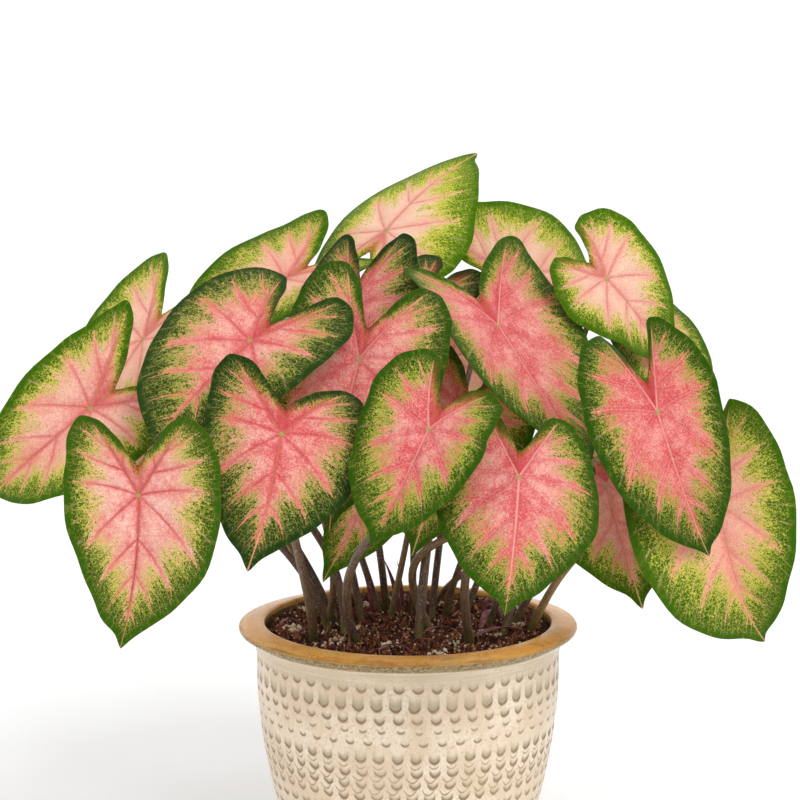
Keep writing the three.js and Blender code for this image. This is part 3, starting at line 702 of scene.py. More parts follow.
# %% Grain and distances
def leaf_measures(paint):
    """The numbers on a blade's points, with noises from broad clouds to single flecks."""
    m = SimpleNamespace()
    flat, m.u, m.v, _ = paint.measured("flat")
    _, m.phase, m.spacing, m.lobe = paint.measured("veins")
    _, m.ring, m.margin, m.from_hub = paint.measured("spot")
    _, m.pale, m.reach, m.dark = paint.measured("tint")
    _, m.lit, seed, m.from_notch = paint.measured("mark")
    _, m.warm, m.shade, _ = paint.measured("hue")
    m.own = paint.moved(flat, paint.vector(seed * 31, seed * 17, seed))

    m.cloud = paint.noise(m.own, 0.06, 2) - 0.5
    m.blotch = paint.noise(m.own, 0.25, 3, 0.65) - 0.5
    m.grain = paint.noise(m.own, 1.3, 3, 0.8) - 0.5
    m.fleck = paint.noise(paint.moved(m.own, (57.0, 11.0, 3.0)), 0.95, 3, 0.85) - 0.5
    along_veins = paint.vector(m.phase * 26.0, m.from_hub * 0.35, seed + 5)
    m.ticks = paint.noise(along_veins, 1.0, 2, 0.7) - 0.5
    along_veins = paint.vector(m.phase * 9.0, m.from_hub * 0.05, seed)
    m.streaks = paint.noise(along_veins, 1.0, 3, 0.65) - 0.5
    m.speck_a, m.speck_b, _ = paint.split(paint.cells(m.own, 1.9, "F1", "Color"), "Color")
    bent = paint.moved(m.own, paint.vector(m.blotch * 2.5, m.streaks * 2.5, 0))
    m.mesh = paint.cells(bent, 0.36, "DISTANCE_TO_EDGE").ease(0.12, 0.01)
    return m


def vein_distances(m):
    """How near each kind of vein is, in mm, and how strongly it bleeds."""
    behind = m.v.at_most(0)
    m.midrib = (m.u * m.u + behind * behind) ** 0.5 + m.cloud * 0.8
    m.lobe_vein = abs(m.lobe)
    in_back = m.lobe.above(0) * (1 - m.phase.above(5.5))
    m.drawn = m.phase.above(0.5) * (1 - m.phase.above(7.5)) * (1 - in_back)
    m.between = abs((m.phase + m.cloud * 0.06 + 0.5).part() - 0.5)
    m.side_vein = m.between * m.spacing + (1 - m.drawn) * 50
    m.inward = m.lobe.ease(-0.6, 1.2)
    near_side = (1 - m.between * 2.2).at_least(0) * m.drawn
    m.near_main = (1 - m.midrib / 13).at_least(0).at_least((1 - m.lobe_vein / 12).at_least(0))
    m.near = near_side.at_least(m.near_main)


def zone_reached(m):
    """How far through the zones a point is: pink below 0.5, green above 0.65."""
    flame = (m.near ** 4 * 0.26 + m.near * 0.08) * (1 + m.cloud * 3.0) * (1 - m.inward * 0.6)
    edge_push = (1 - m.margin / 13).at_least(0) * 0.30 * m.from_notch.ease(5, 24)
    tipward = m.v.ease(15, 75) * (0.05 + m.shade * (1 - m.dark) * 0.16)
    feathers = (m.streaks * 0.46 + m.blotch * 0.38 + m.cloud * 0.45 + m.grain * 0.8
                + m.ticks * 0.28 + (m.speck_a - 0.5) * 0.20)
    m.reached = m.ring - m.reach - flame + feathers + edge_push + tipward


# %% [markdown]
# ## Leaf colour: pink and green
# Each zone is two tones stirred together by the noises, with a few flecks laid over. Paleness,
# warmth and the light that shines through come from the leaf's tint, so that one material
# serves all the leaves and still no two look alike.

# %% Pink heart and green zone
def pink_heart(paint, m):
    deep = paint.blend(m.pale, "d64a56", "ea7876")
    soft = paint.blend(m.pale, "f49f99", "fdc8bc")
    mottle = 0.6 + m.pale * 0.22 + m.cloud * 2.2 + m.grain * 2.6 + m.blotch * 1.9 - m.near * 0.5
    freckles = (m.dark * 0.08 + m.fleck * 3.2 + m.grain * 1.6 + m.reached * 0.9).ease(0.45, 0.8)
    pink = paint.blend(mottle, deep, soft)
    for share, tone in (
            (m.speck_b.ease(0.74, 0.93) * 0.38, "fddccc"),
            (m.fleck.ease(0.06, 0.2) * 0.3 * (1 - m.pale * 0.6), "bb404c"),
            (m.mesh * 0.26, "cf4f58"), (freckles * 0.5, "f4cda2"), (m.warm * 0.38, "f7a27c"),
            (m.lit * (0.85 - m.near * 0.45), "fcd9bd")):
        pink = paint.blend(share, pink, tone)
    return pink


def three_tones(paint, m, plain, pale, lit):
    """One colour for a plain leaf, one for a pale leaf and one where light shines through."""
    return paint.blend(m.lit, paint.blend(m.pale, plain, pale), lit)


def green_zone(paint, m):
    """Pale flecks and a fine pale net on a darker ground, and the margin's own green, each darkened by the
    leaf's painted shade.
    """
    lime = three_tones(paint, m, "a6b03c", "c9c652", "cccf42")
    leafy = three_tones(paint, m, "2d4d07", "3a5b07", "4a760a")
    # The shade number is painted shade: it darkens the lime, the leafy green, the stipple and the margin.
    lime = paint.blend(m.shade * 0.7, lime, "929c44")
    leafy = paint.blend(m.shade * 0.8, leafy, "1b3010")
    outward = m.ring.ease(0.55, 1.0) * 0.6 + m.reached.ease(0.6, 0.85) * 0.4 + m.cloud * 0.6
    stipple = (outward - 0.02 + m.shade * 0.12 + m.fleck * 3.4 + m.grain * 1.8 + m.ticks * 1.6
               + m.streaks * 0.9 - m.mesh * 0.2)
    green = paint.blend(stipple.ease(0.27, 0.63), lime, leafy)
    green = paint.blend(m.mesh * (0.36 - outward * 0.2).at_least(0), green, lime)
    green = paint.blend(m.speck_b.ease(0.82, 0.97) * 0.5 * (1 - outward * 0.6), green, "d8d078")
    margin = three_tones(paint, m, "2d5406", "386204", "467006")
    margin = paint.blend(m.shade * m.shade, margin, "1d3812")
    streaky = (m.streaks * 3.0 + m.grain * 2.0).ease(0.1, 0.9) * 0.45
    return green, paint.blend(streaky, margin, lime)


def leaf_zones(paint, m):
    """Pink, then tan, then green, then the margin's band, with crimson between the lobes."""
    green, rimmed = green_zone(paint, m)
    tan = paint.blend(m.pale, "cc8c48", "eec47c")
    skin = paint.blend(m.reached.ease(0.48, 0.56) * (0.4 + m.pale * 0.45), pink_heart(paint, m), tan)
    skin = paint.blend((m.reached + m.fleck * 0.7 + m.ticks * 0.3).ease(0.56, 0.66), skin, green)
    ragged = m.margin + m.cloud * 6.0 + m.fleck * 6.0 + m.streaks * 7.0
    m.band = ragged.ease(5.2, 1.8) * m.from_notch.ease(5, 20)
    skin = paint.blend(m.band, skin, rimmed)
    wedge = (abs(m.u) + m.grain * 6).ease(9.0, 2.0) * m.v.ease(2, -4)
    seam = (m.lobe + m.grain * 5).ease(7.5, 1.0) * m.from_hub.ease(50, 20)
    crimson = m.inward * wedge.at_least(seam * 0.7) * m.margin.ease(0.4, 1.6)
    return paint.blend(crimson * (0.8 - m.pale * 0.3 + m.dark * 0.05), skin, "c83a48")


# %% [markdown]
# ## Leaf colour: veins
# A vein shows as a wide deeper halo with a thin line in it, and dark leaves have an olive-brown
# core. All of it narrows towards the margin. The same shares then raise or sink the surface, as
# bump, so that colour and relief stay together.

# %% Leaf skins
def draw_veins(paint, m, skin):
    taper = 1 - m.ring * 0.55
    midrib, lobe_vein, side_vein = m.midrib / taper, m.lobe_vein / taper, m.side_vein / taper
    halo = (midrib + m.grain * 2).ease(3.4, 0.5).at_least((lobe_vein + m.grain * 2).ease(3.2, 0.5))
    halo = halo.at_least((side_vein + m.grain * 3).ease(2.6, 0.3) * 0.8)
    halo = halo * (1 - m.ring.ease(0.6, 0.95)) * (1 - m.inward * m.ring.ease(0.6, 0.85))
    skin = paint.blend(halo * (0.25 + m.dark * 0.40) * (1 - m.lit * 0.45), skin,
                       paint.blend(m.warm * 0.7, "d63c4c", "e2604e"))
    lobe_line = lobe_vein.ease(0.85, 0.3) * (1 - m.ring.ease(0.78, 0.95))
    m.rib = midrib.ease(0.95, 0.35).at_least(lobe_line)
    shown = (1 - m.ring.ease(0.78, 0.97)) * (1 - m.inward * m.ring.ease(0.5, 0.75))
    m.branch = side_vein.ease(0.75, 0.25) * shown
    light_line = paint.blend(m.ring.ease(0.45, 0.9), "f7aca2", "efc08a")
    deep_line = paint.blend(m.ring.ease(0.3, 0.85), "c2333c", "f0a080")
    line = paint.blend(m.dark, light_line, deep_line)
    core = midrib.ease(0.9, 0.35).at_least(lobe_vein.ease(0.8, 0.3)) * m.ring.ease(0.8, 0.5)
    fine_lines = abs((m.phase * 4 + m.streaks * 0.5).part() - 0.5).ease(0.07, 0.015)
    m.veinlet = fine_lines * m.ring.ease(0.25, 0.6) * (1 - m.band) * (1 - m.inward)
    for share, tone in (
            (m.rib * (0.6 + m.dark * 0.25), line), (m.branch * (0.45 + m.dark * 0.25), line),
            (core * 0.65, paint.blend(m.dark, "f4b8a2", "b06e42")), (m.veinlet * 0.22, "f0c59c"),
            (m.from_hub.ease(2.2, 1.0) * 0.8, "b6b060"), (m.margin.ease(0.5, 0.15) * 0.4, "6b5a2c")):
        skin = paint.blend(share, skin, tone)
    return skin


def leaf_skin(name, underside):
    paint = Paint(name)
    m = leaf_measures(paint)
    vein_distances(m)
    zone_reached(m)
    skin = draw_veins(paint, m, leaf_zones(paint, m))
    if underside:
        skin = paint.blend(0.35, skin, "c9ac8c")
        raised = m.rib * 0.6 + m.branch * 0.5 + m.mesh * 0.12
    else:
        pillow = (m.between * 2).at_most(1) ** 0.7 * m.drawn * (1 - m.ring * m.ring)
        pillow = pillow * (m.spacing / 14).at_most(1.2)
        main = m.near_main * m.near_main * (1 - m.ring)
        raised = (m.grain * 0.6 + m.fleck * 0.6 - m.rib * 0.3 - m.branch * 0.2 - m.mesh * 0.35
                  - m.veinlet * 0.2 + pillow * 1.3 - main * 0.8)
    return paint.set(Base_Color=skin, Roughness=0.5 + m.grain * 0.3 + m.rib * 0.1,
                     Normal=paint.bump(raised, 0.0009, 0.85), Specular_IOR_Level=0.04)


blade_skins = [leaf_skin("leaf_face", False), leaf_skin("leaf_underside", True)]
blades = [make_blade(name, leaf, index, blade_skins)
          for index, (name, leaf) in enumerate(LEAVES.items())]
print("blades:", len(blades), "faces each:", len(blades[0].data.polygons))

# %% [markdown]
# ## Stalks
# A stalk rises from the soil and meets the underside of its blade at the hub. It is a smooth
# tapering tube along a Bezier curve, mottled brown and purple-grey with fine streaks, and
# turns olive green at its foot.

# %% Stalk tubes
SOIL_LEVEL = 190.0
FOOT_DEPTH = 16.0
STALK_TAPER = 0.7
STALK_SIDES, STALK_RINGS, END_CHECKS = 16, 36, 24
GAP = 0.3
NEXT_STALK = 3.7
# The blade's solid in model.glb runs straight from its hub to its first ring, this share of the way out
FIRST_RING = 0.36


def stalk_path(leaf):
    """The four Bezier points of a stalk. Its end just clears the underside of the blade."""
    along, right, face = blade_axes(leaf)
    reach = np.array(leaf["reach"], float)
    arrival = -unit(reach)
    across = unit(np.cross(arrival, face))
    upward = np.cross(across, arrival)
    sag = math.sin(math.radians(leaf["bend"] * FIRST_RING / 2))
    tallest = 0.0
    for angle in np.linspace(0, 2 * math.pi, END_CHECKS, endpoint=False):
        spoke = leaf["stem"] * STALK_TAPER * (across * math.cos(angle) + upward * math.sin(angle))
        u = spoke @ right
        slope = leaf["fold"][0 if u >= 0 else 1] - leaf["arch"] * FIRST_RING
        tallest = max(tallest, spoke @ face - abs(u) * slope + max(spoke @ along, 0) * sag)
    top = np.array(leaf["hub"], float) - face * (BLADE_THICKNESS / 2 + RIB_HEIGHT + GAP + tallest)
    foot = np.array([*leaf["foot"], SOIL_LEVEL - FOOT_DEPTH])
    return foot, foot + leaf["rise"], top + reach, top


def tube_faces(rings, sides):
    """Four-cornered faces between rings of points, and one face at each end."""
    faces = []
    for ring in range(rings - 1):
        for i in range(sides):
            a, b = ring * sides + i, ring * sides + (i + 1) % sides
            faces.append((a, b, b + sides, a + sides))
    return faces + [tuple(range(sides))[::-1], tuple(range((rings - 1) * sides, rings * sides))]


def tube(path, radii, sides):
    """Rings of points along a path, turned as little as possible, closed at both ends."""
    tangents = unit(np.gradient(path, axis=0))
    across = np.cross(tangents[0], [0.0, 1.0, 0.0])
    points, angles = [], np.linspace(0, 2 * math.pi, sides, endpoint=False)
    for centre, tangent, radius in zip(path, tangents, radii):
        across = unit(across - tangent * (across @ tangent))
        upward = np.cross(tangent, across)
        spokes = np.outer(np.cos(angles), across) + np.outer(np.sin(angles), upward)
        points.append(centre + radius * spokes)
    return np.concatenate(points), tube_faces(len(path), sides)


def stalk_skin():
    paint = Paint("stalk_skin")
    where = paint.place()
    _, share, around, seed = paint.measured("run")
    _, tan, _, _ = paint.measured("tone")
    streaks = paint.noise(paint.vector(around * 3.0, share * 7.0, seed), 3.0, 3, 0.6) - 0.5
    fine = paint.noise(paint.vector(around * 14.0, share * 30.0, seed), 2.0, 3, 0.7) - 0.5
    specks = paint.cells(where, 700.0)
    chance = paint.noise(where, 200.0, 2) - 0.5
    dark = paint.blend((streaks * 3.0 + 0.5), "38281a", "6e553f")
    dark = paint.blend(chance.ease(0.0, 0.15) * 0.5, dark, "4a3038")
    warm = paint.blend((streaks * 3.0 + 0.5), "7d5f35", "a58a56")
    skin = paint.blend((tan + share.ease(0.45, 0.95) * 0.35).at_most(1), dark, warm)
    skin = paint.blend(fine.ease(0.03, 0.18) * 0.45, skin, "a48c68")
    skin = paint.blend(specks.ease(0.36, 0.14) * chance.ease(-0.08, 0.08) * 0.75, skin, "c2ae90")
    skin = paint.blend(fine.ease(-0.04, -0.16) * 0.5, skin, "22130e")
    foot = (paint.split(where)[2] + chance * 0.02).ease(0.206, 0.191)
    skin = paint.blend(foot * 0.7, skin, "6f7030")
    return paint.set(Base_Color=skin, Roughness=0.42 + fine * 0.3, Specular_IOR_Level=0.35,
                     Normal=paint.bump(fine * 0.6 + specks * 0.3, 0.0004, 0.5))


# The slimmest stalks are tan, the others dark brown to purple-grey
TAN = {"front_left": 0.9, "far_right": 0.8, "low_right": 0.7, "front_right": 0.45, "centre_small": 0.6,
       "under_left": 0.35, "under_mid": 0.3, "centre_left": 0.3}
stalk_finish = stalk_skin()
for index, (name, leaf) in enumerate(LEAVES.items()):
    shares = np.linspace(0, 1, STALK_RINGS)
    path = bezier(stalk_path(leaf), shares)
    lengths = np.concatenate([[0], np.cumsum(np.linalg.norm(np.diff(path, axis=0), axis=1))])
    even = lengths / lengths[-1]
    radii = leaf["stem"] * (1 - (1 - STALK_TAPER) * even)
    points, faces = tube(path, radii, STALK_SIDES)
    around = np.tile(np.abs(np.linspace(-1, 1, STALK_SIDES, endpoint=False)), STALK_RINGS)
    run = np.column_stack([np.repeat(even, STALK_SIDES), around, np.full(len(points), index * NEXT_STALK)])
    tone = np.outer(np.full(len(points), TAN.get(name, 0.0)), [1, 0, 0])
    make_piece(f"petiole_{name}", points * MM, faces, [stalk_finish],
               [f"stalk_{name}"], None, {"run": run, "tone": tone})
print("stalks:", len(LEAVES))

# %% [markdown]
# ## Pot
# The pot was thrown, then pressed with a rounded tool row after row, and glazed. The glaze
# runs into the lower lip of every press and pools there, darker. The presses are real hollows
# in the mesh, so light catches them from any side. The same rows place the glaze later on.

# %% Pot wall with pressed rows
POT_HEIGHT, RIM_RADIUS, RIM_WIDTH, RIM_SLOPE, LIP_DEPTH = 196.0, 120.0, 19.0, 2.7, 4.0
NECK_RADIUS, NECK_BOTTOM, NECK_TOP = 107.0, 156.0, 170.0
WALL, FLOOR = 7.0, 11.0
PRESSES = 52
POT_TURNS = 520
# Points along the belly, and how far up the cove the presses reach
WALL_ROWS, PRESSED_COVE = 118, 4
PRESS_STEP = 2 * math.pi * NECK_RADIUS / PRESSES
# Rows of presses from the neck down: height of the lowest point, how tall and wide the press
# is, how deep, and how far the row is shifted round, all in mm but the last (share of a press).
ROWS = [(170.0, 6.2, 8.0, 0.8, .00), (157.2, 11.5, 8.8, 0.9, .18), (148.8, 5.6, 8.0, 0.8, .02),
        (141.9, 3.0, 5.8, 0.5, -.08), (133.2, 3.4, 6.6, 0.6, -.32), (120.6, 7.4, 8.4, 0.9, .10),
        (116.4, 1.6, 8.0, 0.3, .12), (110.6, 5.4, 8.8, 0.9, .05), (106.6, 1.8, 9.6, 0.4, .30),
        (101.8, 5.4, 8.8, 0.9, .16), (97.6, 1.8, 9.6, 0.4, .40), (92.6, 5.4, 8.8, 0.9, .28),
        (83.4, 5.4, 8.4, 0.9, .12), (74.0, 5.4, 8.0, 0.8, .20), (64.4, 5.2, 7.6, 0.8, .10),
        (54.8, 5.0, 7.2, 0.7, .22), (45.2, 4.8, 6.8, 0.7, .12), (35.6, 4.6, 6.4, 0.6, .25)]
LIP_RISE = 0.18


def belly(inset, bottom, shares):
    return bezier([(70 - inset, bottom), (84 - inset, bottom + 22), (105 - inset, 95),
                   (NECK_RADIUS - inset, NECK_BOTTOM)], shares)


def pot_section():
    """The wall in section, up the outside and down the inside. Also how many of its points are
    pressed, and where the top of the rim starts and ends."""
    rim_edge = POT_HEIGHT - RIM_SLOPE
    lip_under = rim_edge - LIP_DEPTH
    mouth = RIM_RADIUS - RIM_WIDTH
    cove = bezier([(NECK_RADIUS, NECK_TOP), (NECK_RADIUS, lip_under - 3),
                   (RIM_RADIUS - 3, lip_under)], np.linspace(0, 1, 17))
    roll = bezier([(RIM_RADIUS - 1, lip_under + 1), (RIM_RADIUS, lip_under + 3),
                   (RIM_RADIUS, rim_edge), (RIM_RADIUS - 3, rim_edge)], np.linspace(0, 1, 9))
    top = bezier([(RIM_RADIUS - 3, rim_edge), (mouth + 10, POT_HEIGHT - 0.6),
                  (mouth + 2, POT_HEIGHT)], np.linspace(0, 1, 7))[1:]
    lip = bezier([(mouth + 2, POT_HEIGHT), (mouth, POT_HEIGHT), (mouth, POT_HEIGHT - 1.5)],
                 np.linspace(0, 1, 5))[1:]
    inside_wall = np.linspace([mouth, POT_HEIGHT - 1.5], [NECK_RADIUS - WALL, NECK_TOP], 5)[1:]
    wall = belly(0, 4, np.linspace(0, 1, 1200))
    along = np.concatenate([[0], np.cumsum(np.linalg.norm(np.diff(wall, axis=0), axis=1))])
    even = np.linspace(0, along[-1], WALL_ROWS)
    wall = np.column_stack([np.interp(even, along, wall[:, i]) for i in (0, 1)])
    neck = np.linspace([NECK_RADIUS, NECK_BOTTOM], [NECK_RADIUS, NECK_TOP], 11)[1:-1]
    foot = np.array([[66.0, 0.0], [67.2, 0.5], [68.6, 2.0]])
    below_cove = len(foot) + len(wall) + len(neck)
    top_start = below_cove + len(cove) + len(roll)
    section = np.concatenate([foot, wall, neck, cove, roll, top, lip, inside_wall,
                              belly(WALL, FLOOR, np.linspace(1, 0, 7))])
    return section, below_cove + PRESSED_COVE, (top_start, top_start + len(top))


def press_depth(angle, height):
    """How deep the pressed rows cut at an angle and height."""
    depth = np.zeros(np.broadcast(angle, height).shape)
    for low, tall, wide, deep, shift in ROWS:
        turn = (angle / (2 * math.pi) * PRESSES + shift) % 1 - 0.5
        across = turn * PRESS_STEP
        over = height - low - LIP_RISE * across ** 2
        body = np.clip(1 - (across / (wide / 2)) ** 4, 0, 1)
        share = np.where(over < 0, np.clip(1 + over / 0.5, 0, 1), np.clip(1 - over / tall, 0, 1))
        depth = np.maximum(depth, share * body * deep)
    return depth


section, pressed, rim_top = pot_section()
angles = np.linspace(-math.pi, math.pi, POT_TURNS, endpoint=False)
radius = np.repeat(section[:, 0:1], POT_TURNS, 1)
height = np.repeat(section[:, 1:2], POT_TURNS, 1)
depth = press_depth(angles[None], height[:pressed])
radius[:pressed] -= depth
# A thrown pot is never quite round. Its inside stays true, because the soil fills it.
rows = len(section)
unround = 0.3 * np.sin(2 * angles + 0.7) + 0.2 * np.sin(5 * angles) - 0.5
free = np.interp(np.arange(rows), rim_top, [1, 0])[:, None]
radius += unround[None] * free * np.clip(height / POT_HEIGHT, 0, 1)
points = np.stack([radius * np.cos(angles), radius * np.sin(angles), height], -1).reshape(-1, 3)
faces = tube_faces(rows, POT_TURNS)
print("pot faces:", len(faces), "deepest press", round(float(depth.max()), 2), "mm")

# %% [markdown]
# ## Glaze
# Cream glaze covers the body, with painted grey shade in each press and a dark line where the glaze ran
# into the lower lip. Towards the rim it thins to a grey-green band, and the rim is caramel. The presses
# are worked out again here from the same rows as the mesh, so the colour falls where the hollow is. A
# painted picture would need seams and could not be resized.

# %% Pot glaze
def stoneware():
    paint = Paint("stoneware_glaze")
    where = paint.place()
    x, y, z = paint.split(where)
    high = z * 1000
    from_axis = (x * x + y * y) ** 0.5 * 1000
    angle = paint.node("ShaderNodeMath", {"operation": "ARCTAN2"}, {0: y, 1: x})
    around = angle / (2 * math.pi) * PRESSES
    cloud = paint.noise(where, 28.0, 3, 0.55) - 0.5
    hand = paint.noise(where, 75.0, 1) - 0.5
    fine = paint.noise(where, 420.0, 3, 0.7) - 0.5
    specks = paint.cells(where, 420.0)
    chance = paint.noise(where, 90.0, 2)
    turned = paint.noise(paint.stretched(where, (14.0, 14.0, 520.0)), 1.0, 3, 0.6) - 0.5

    # Each press: painted grey shade inside, and a dark line of glaze that has run into its lower lip
    lips, well_shades = None, None
    for number, (low, tall, wide, deep, shift) in enumerate(ROWS):
        across = ((around + shift).part() - 0.5) * PRESS_STEP + hand * 1.6
        over = high - low - across * across * LIP_RISE + hand * 1.4
        over = over + (number % 3 - 1) * cloud * 2.0
        body = abs(across).ease(wide / 2 + 0.3, wide / 2 - 0.9)
        lip = abs(over - 0.5).ease(0.6 + deep * 1.2, 0.3) * body * (0.35 + deep * 0.75)
        well = over.ease(-0.2, 0.6) * over.ease(tall, 0.3) * body * (0.2 + deep)
        lips = lip if lips is None else lips.at_least(lip)
        well_shades = well if well_shades is None else well_shades.at_least(well)

    body = paint.blend(cloud.ease(-0.12, 0.14), "dccbb3", "efe3d2")
    body = paint.blend((fine * 2.6 + 0.4), body, "dcc3a2")
    body = paint.blend(specks.ease(0.3, 0.12) * 0.25, body, "f6ecda")
    body = paint.blend(fine.ease(0.05, 0.2) * 0.5, body, "bfa583")
    # Painted shade: grey in the hollow of each press, strongest low down in it.
    body = paint.blend((well_shades * (1.0 + cloud * 2)).at_most(0.9), body, "ada085")
    body = paint.blend(lips * (0.85 + fine * 1.5 + cloud * 2).at_most(0.95), body, "94795a")
    body = paint.blend(specks.ease(0.22, 0.08) * chance.ease(0.55, 0.62) * 0.7, body, "80684c")
    neck = high.ease(171.5, 175.0) * high.ease(185.6, 183.6)
    body = paint.blend(neck * (turned * 2.6 + 0.45).at_most(0.8), body, "c6b69c")

    # Under the rim the caramel thins out to a grey-green band with a ragged edge
    ragged = turned * 2.4 + cloud * 3.0 + fine * 2.0
    band = paint.blend(fine.ease(-0.1, 0.15), "7b6a48", "b09a72")
    body = paint.blend((high + ragged * 0.8).ease(184.9, 186.6), body, band)
    caramel = paint.blend((turned * 2.5 + 0.5), "f2a438", "ffd87e")
    caramel = paint.blend(from_axis.ease(117, 103) * 0.4, caramel, "f4c274")
    caramel = paint.blend(fine.ease(0.02, 0.2) * 0.5, caramel, "b06a22")
    caramel = paint.blend(cloud.ease(0.02, 0.14) * 0.55, caramel, "e0b878")
    caramel = paint.blend((hand + fine).ease(0.06, 0.2) * 0.4, caramel, "c0792c")
    caramel = paint.blend((from_axis + hand * 3).ease(116.8, 118.4) * 0.3, caramel, "9a6428")
    caramel = paint.blend(turned.ease(0.06, 0.16) * 0.5, caramel, "a8662a")
    caramel = paint.blend(specks.ease(0.26, 0.1) * chance.ease(0.5, 0.58) * 0.8, caramel, "5a3817")
    skin = paint.blend((high + ragged * 0.4).ease(192.0, 192.9), body, caramel)
    bare = (high + fine * 2).ease(6.5, 4.0)
    skin = paint.blend(bare, skin, "b49a7c")
    return paint.set(Base_Color=skin, Roughness=0.2 + (fine + 0.5) * 0.14 + bare * 0.4,
                     Normal=paint.bump(cloud * 0.6 + fine * 0.25 + turned * 0.3 - lips * 0.5, 0.0009, 0.4),
                     Coat_Weight=0.08, Coat_Roughness=0.06, Specular_IOR_Level=0.12)


pot = make_piece("stoneware_pot", points * MM, faces, [stoneware()], ["pot"])
print("nodes in the glaze:", len(pot.data.materials[0].node_tree.nodes))

# %% [markdown]
# ## Soil
# The soil from model.glb already has the right level and a hole for every stalk, so it stays and only gets
# a better surface. On it lies what makes potting mix look like potting mix: dark crumbs, bark slivers,
# white perlite grains.

# %% Dark ground
def ground_skin():
    paint = Paint("potting_mix")
    where = paint.place()
    lumps = paint.cells(where, 420.0)
    tone = paint.split(paint.cells(where, 420.0, "F1", "Color"), "Color")[0]
    fine = paint.noise(where, 900.0, 3, 0.7)
    skin = paint.blend(tone.ease(0.2, 0.9), "120703", "4a2413")
    skin = paint.blend(fine.ease(0.55, 0.75) * 0.5, skin, "5a3b27")
    return paint.set(Base_Color=skin, Roughness=0.95,
                     Normal=paint.bump(lumps * 0.7 + fine * 0.3, 0.003, 1.0))


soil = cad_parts["soil"]
soil.data.materials.clear()
soil.data.materials.append(ground_skin())
print("soil faces:", len(soil.data.polygons))

# %% [markdown]
# ## Scattering the crumbs
# Geometry Nodes drop grains on a patch of ground. The patch is a disc with a hole round every
# stalk, so that no grain lands in a stem. The same node group serves all kinds of grain. Only
# its inputs differ. A particle system would do too, but a node group is easier to reuse.

# %% Ground patch and grain group
SOIL_MOUND = 3.0
STEM_BELOW, STEM_ABOVE = 4.0, 8.0
FULL_TURN = 6.283


def ground_patch():
    """A grid over the soil, in metres, without the squares at the stalks."""
    reach, cell = 97.0, 2.0
    ticks = np.arange(-reach, reach + cell, cell)
    grid = np.stack(np.meshgrid(ticks, ticks), -1).reshape(-1, 2)
    far = np.hypot(grid[:, 0], grid[:, 1])
    brim = NECK_RADIUS - WALL - GAP
    lift = SOIL_LEVEL + SOIL_MOUND * np.clip(1 - (far / brim) ** 2, 0, 1)
    clear = np.ones(len(grid))
    for leaf in LEAVES.values():
        path = bezier(stalk_path(leaf), np.linspace(0, 1, 400))
        level = path[:, 2] - SOIL_LEVEL
        path = path[(level > -STEM_BELOW) & (level < STEM_ABOVE)]
        gap = distance_to(path[:, :2], grid) - leaf["stem"]
        clear = np.minimum(clear, np.clip((gap - 1.6) / 1.0, 0, 1))
    clear[far > reach] = 0
    count = len(ticks)
    faces = []
    for row in range(count - 1):
        for column in range(count - 1):
            a = row * count + column
            corner = (a, a + 1, a + count + 1, a + count)
            if clear[list(corner)].min() > 0:
                faces.append(corner)
    return np.column_stack([grid, lift]) * MM, faces


def lumpy_grain(name, seed, squash, material):
    """A small faceted stone: a cut-down ball whose points are pushed in and out."""
    chance = np.random.default_rng(seed)
    ball = bmesh.new()
    bmesh.ops.create_icosphere(ball, subdivisions=1, radius=0.5)
    for vertex in ball.verts:
        vertex.co *= float(chance.uniform(0.75, 1.15))
        for axis, share in enumerate(squash):
            vertex.co[axis] *= share
    mesh = bpy.data.meshes.new(name)
    ball.to_mesh(mesh)
    ball.free()
    mesh.materials.append(material)
    return bpy.data.objects.new(name, mesh)


def grain_group():
    """Points on the ground, with a grain on each that is sized and turned at random."""
    group = bpy.data.node_groups.new("Scatter grains", "GeometryNodeTree")
    for title, kind in (("Geometry", "Geometry"), ("Density", "Float"), ("Smallest", "Float"),
                        ("Largest", "Float"), ("Seed", "Int"), ("Grain", "Object"),
                        ("Material", "Material"), ("Lift", "Float")):
        group.interface.new_socket(title, in_out="INPUT", socket_type="NodeSocket" + kind)
    group.interface.new_socket("Geometry", in_out="OUTPUT", socket_type="NodeSocketGeometry")

    def add(kind, links, **settings):
        node = group.nodes.new(kind)
        for key, value in settings.items():
            setattr(node, key, value)
        for place, socket in links.items():
            group.links.new(socket, node.inputs[place])
        return node

    given = add("NodeGroupInput", {}).outputs
    spots = add("GeometryNodeDistributePointsOnFaces", {
        "Mesh": given["Geometry"], "Density": given["Density"], "Seed": given["Seed"]})
    size = add("FunctionNodeRandomValue", {
        2: given["Smallest"], 3: given["Largest"], "Seed": given["Seed"]}, data_type="FLOAT")
    turn = add("FunctionNodeRandomValue", {"Seed": given["Seed"]}, data_type="FLOAT_VECTOR")
    turn.inputs[1].default_value = (FULL_TURN,) * 3
    shape = add("GeometryNodeObjectInfo", {"Object": given["Grain"]})
    placed = add("GeometryNodeInstanceOnPoints", {
        "Points": spots.outputs["Points"], "Instance": shape.outputs["Geometry"],
        "Rotation": turn.outputs[0], "Scale": size.outputs[1]})
    raised = add("ShaderNodeCombineXYZ", {2: given["Lift"]})
    lifted = add("GeometryNodeSetPosition", {
        "Geometry": placed.outputs["Instances"], "Offset": raised.outputs[0]})
    real = add("GeometryNodeRealizeInstances", {0: lifted.outputs["Geometry"]})
    painted = add("GeometryNodeSetMaterial", {
        "Geometry": real.outputs[0], "Material": given["Material"]})
    add("NodeGroupOutput", {0: painted.outputs[0]})
    return group


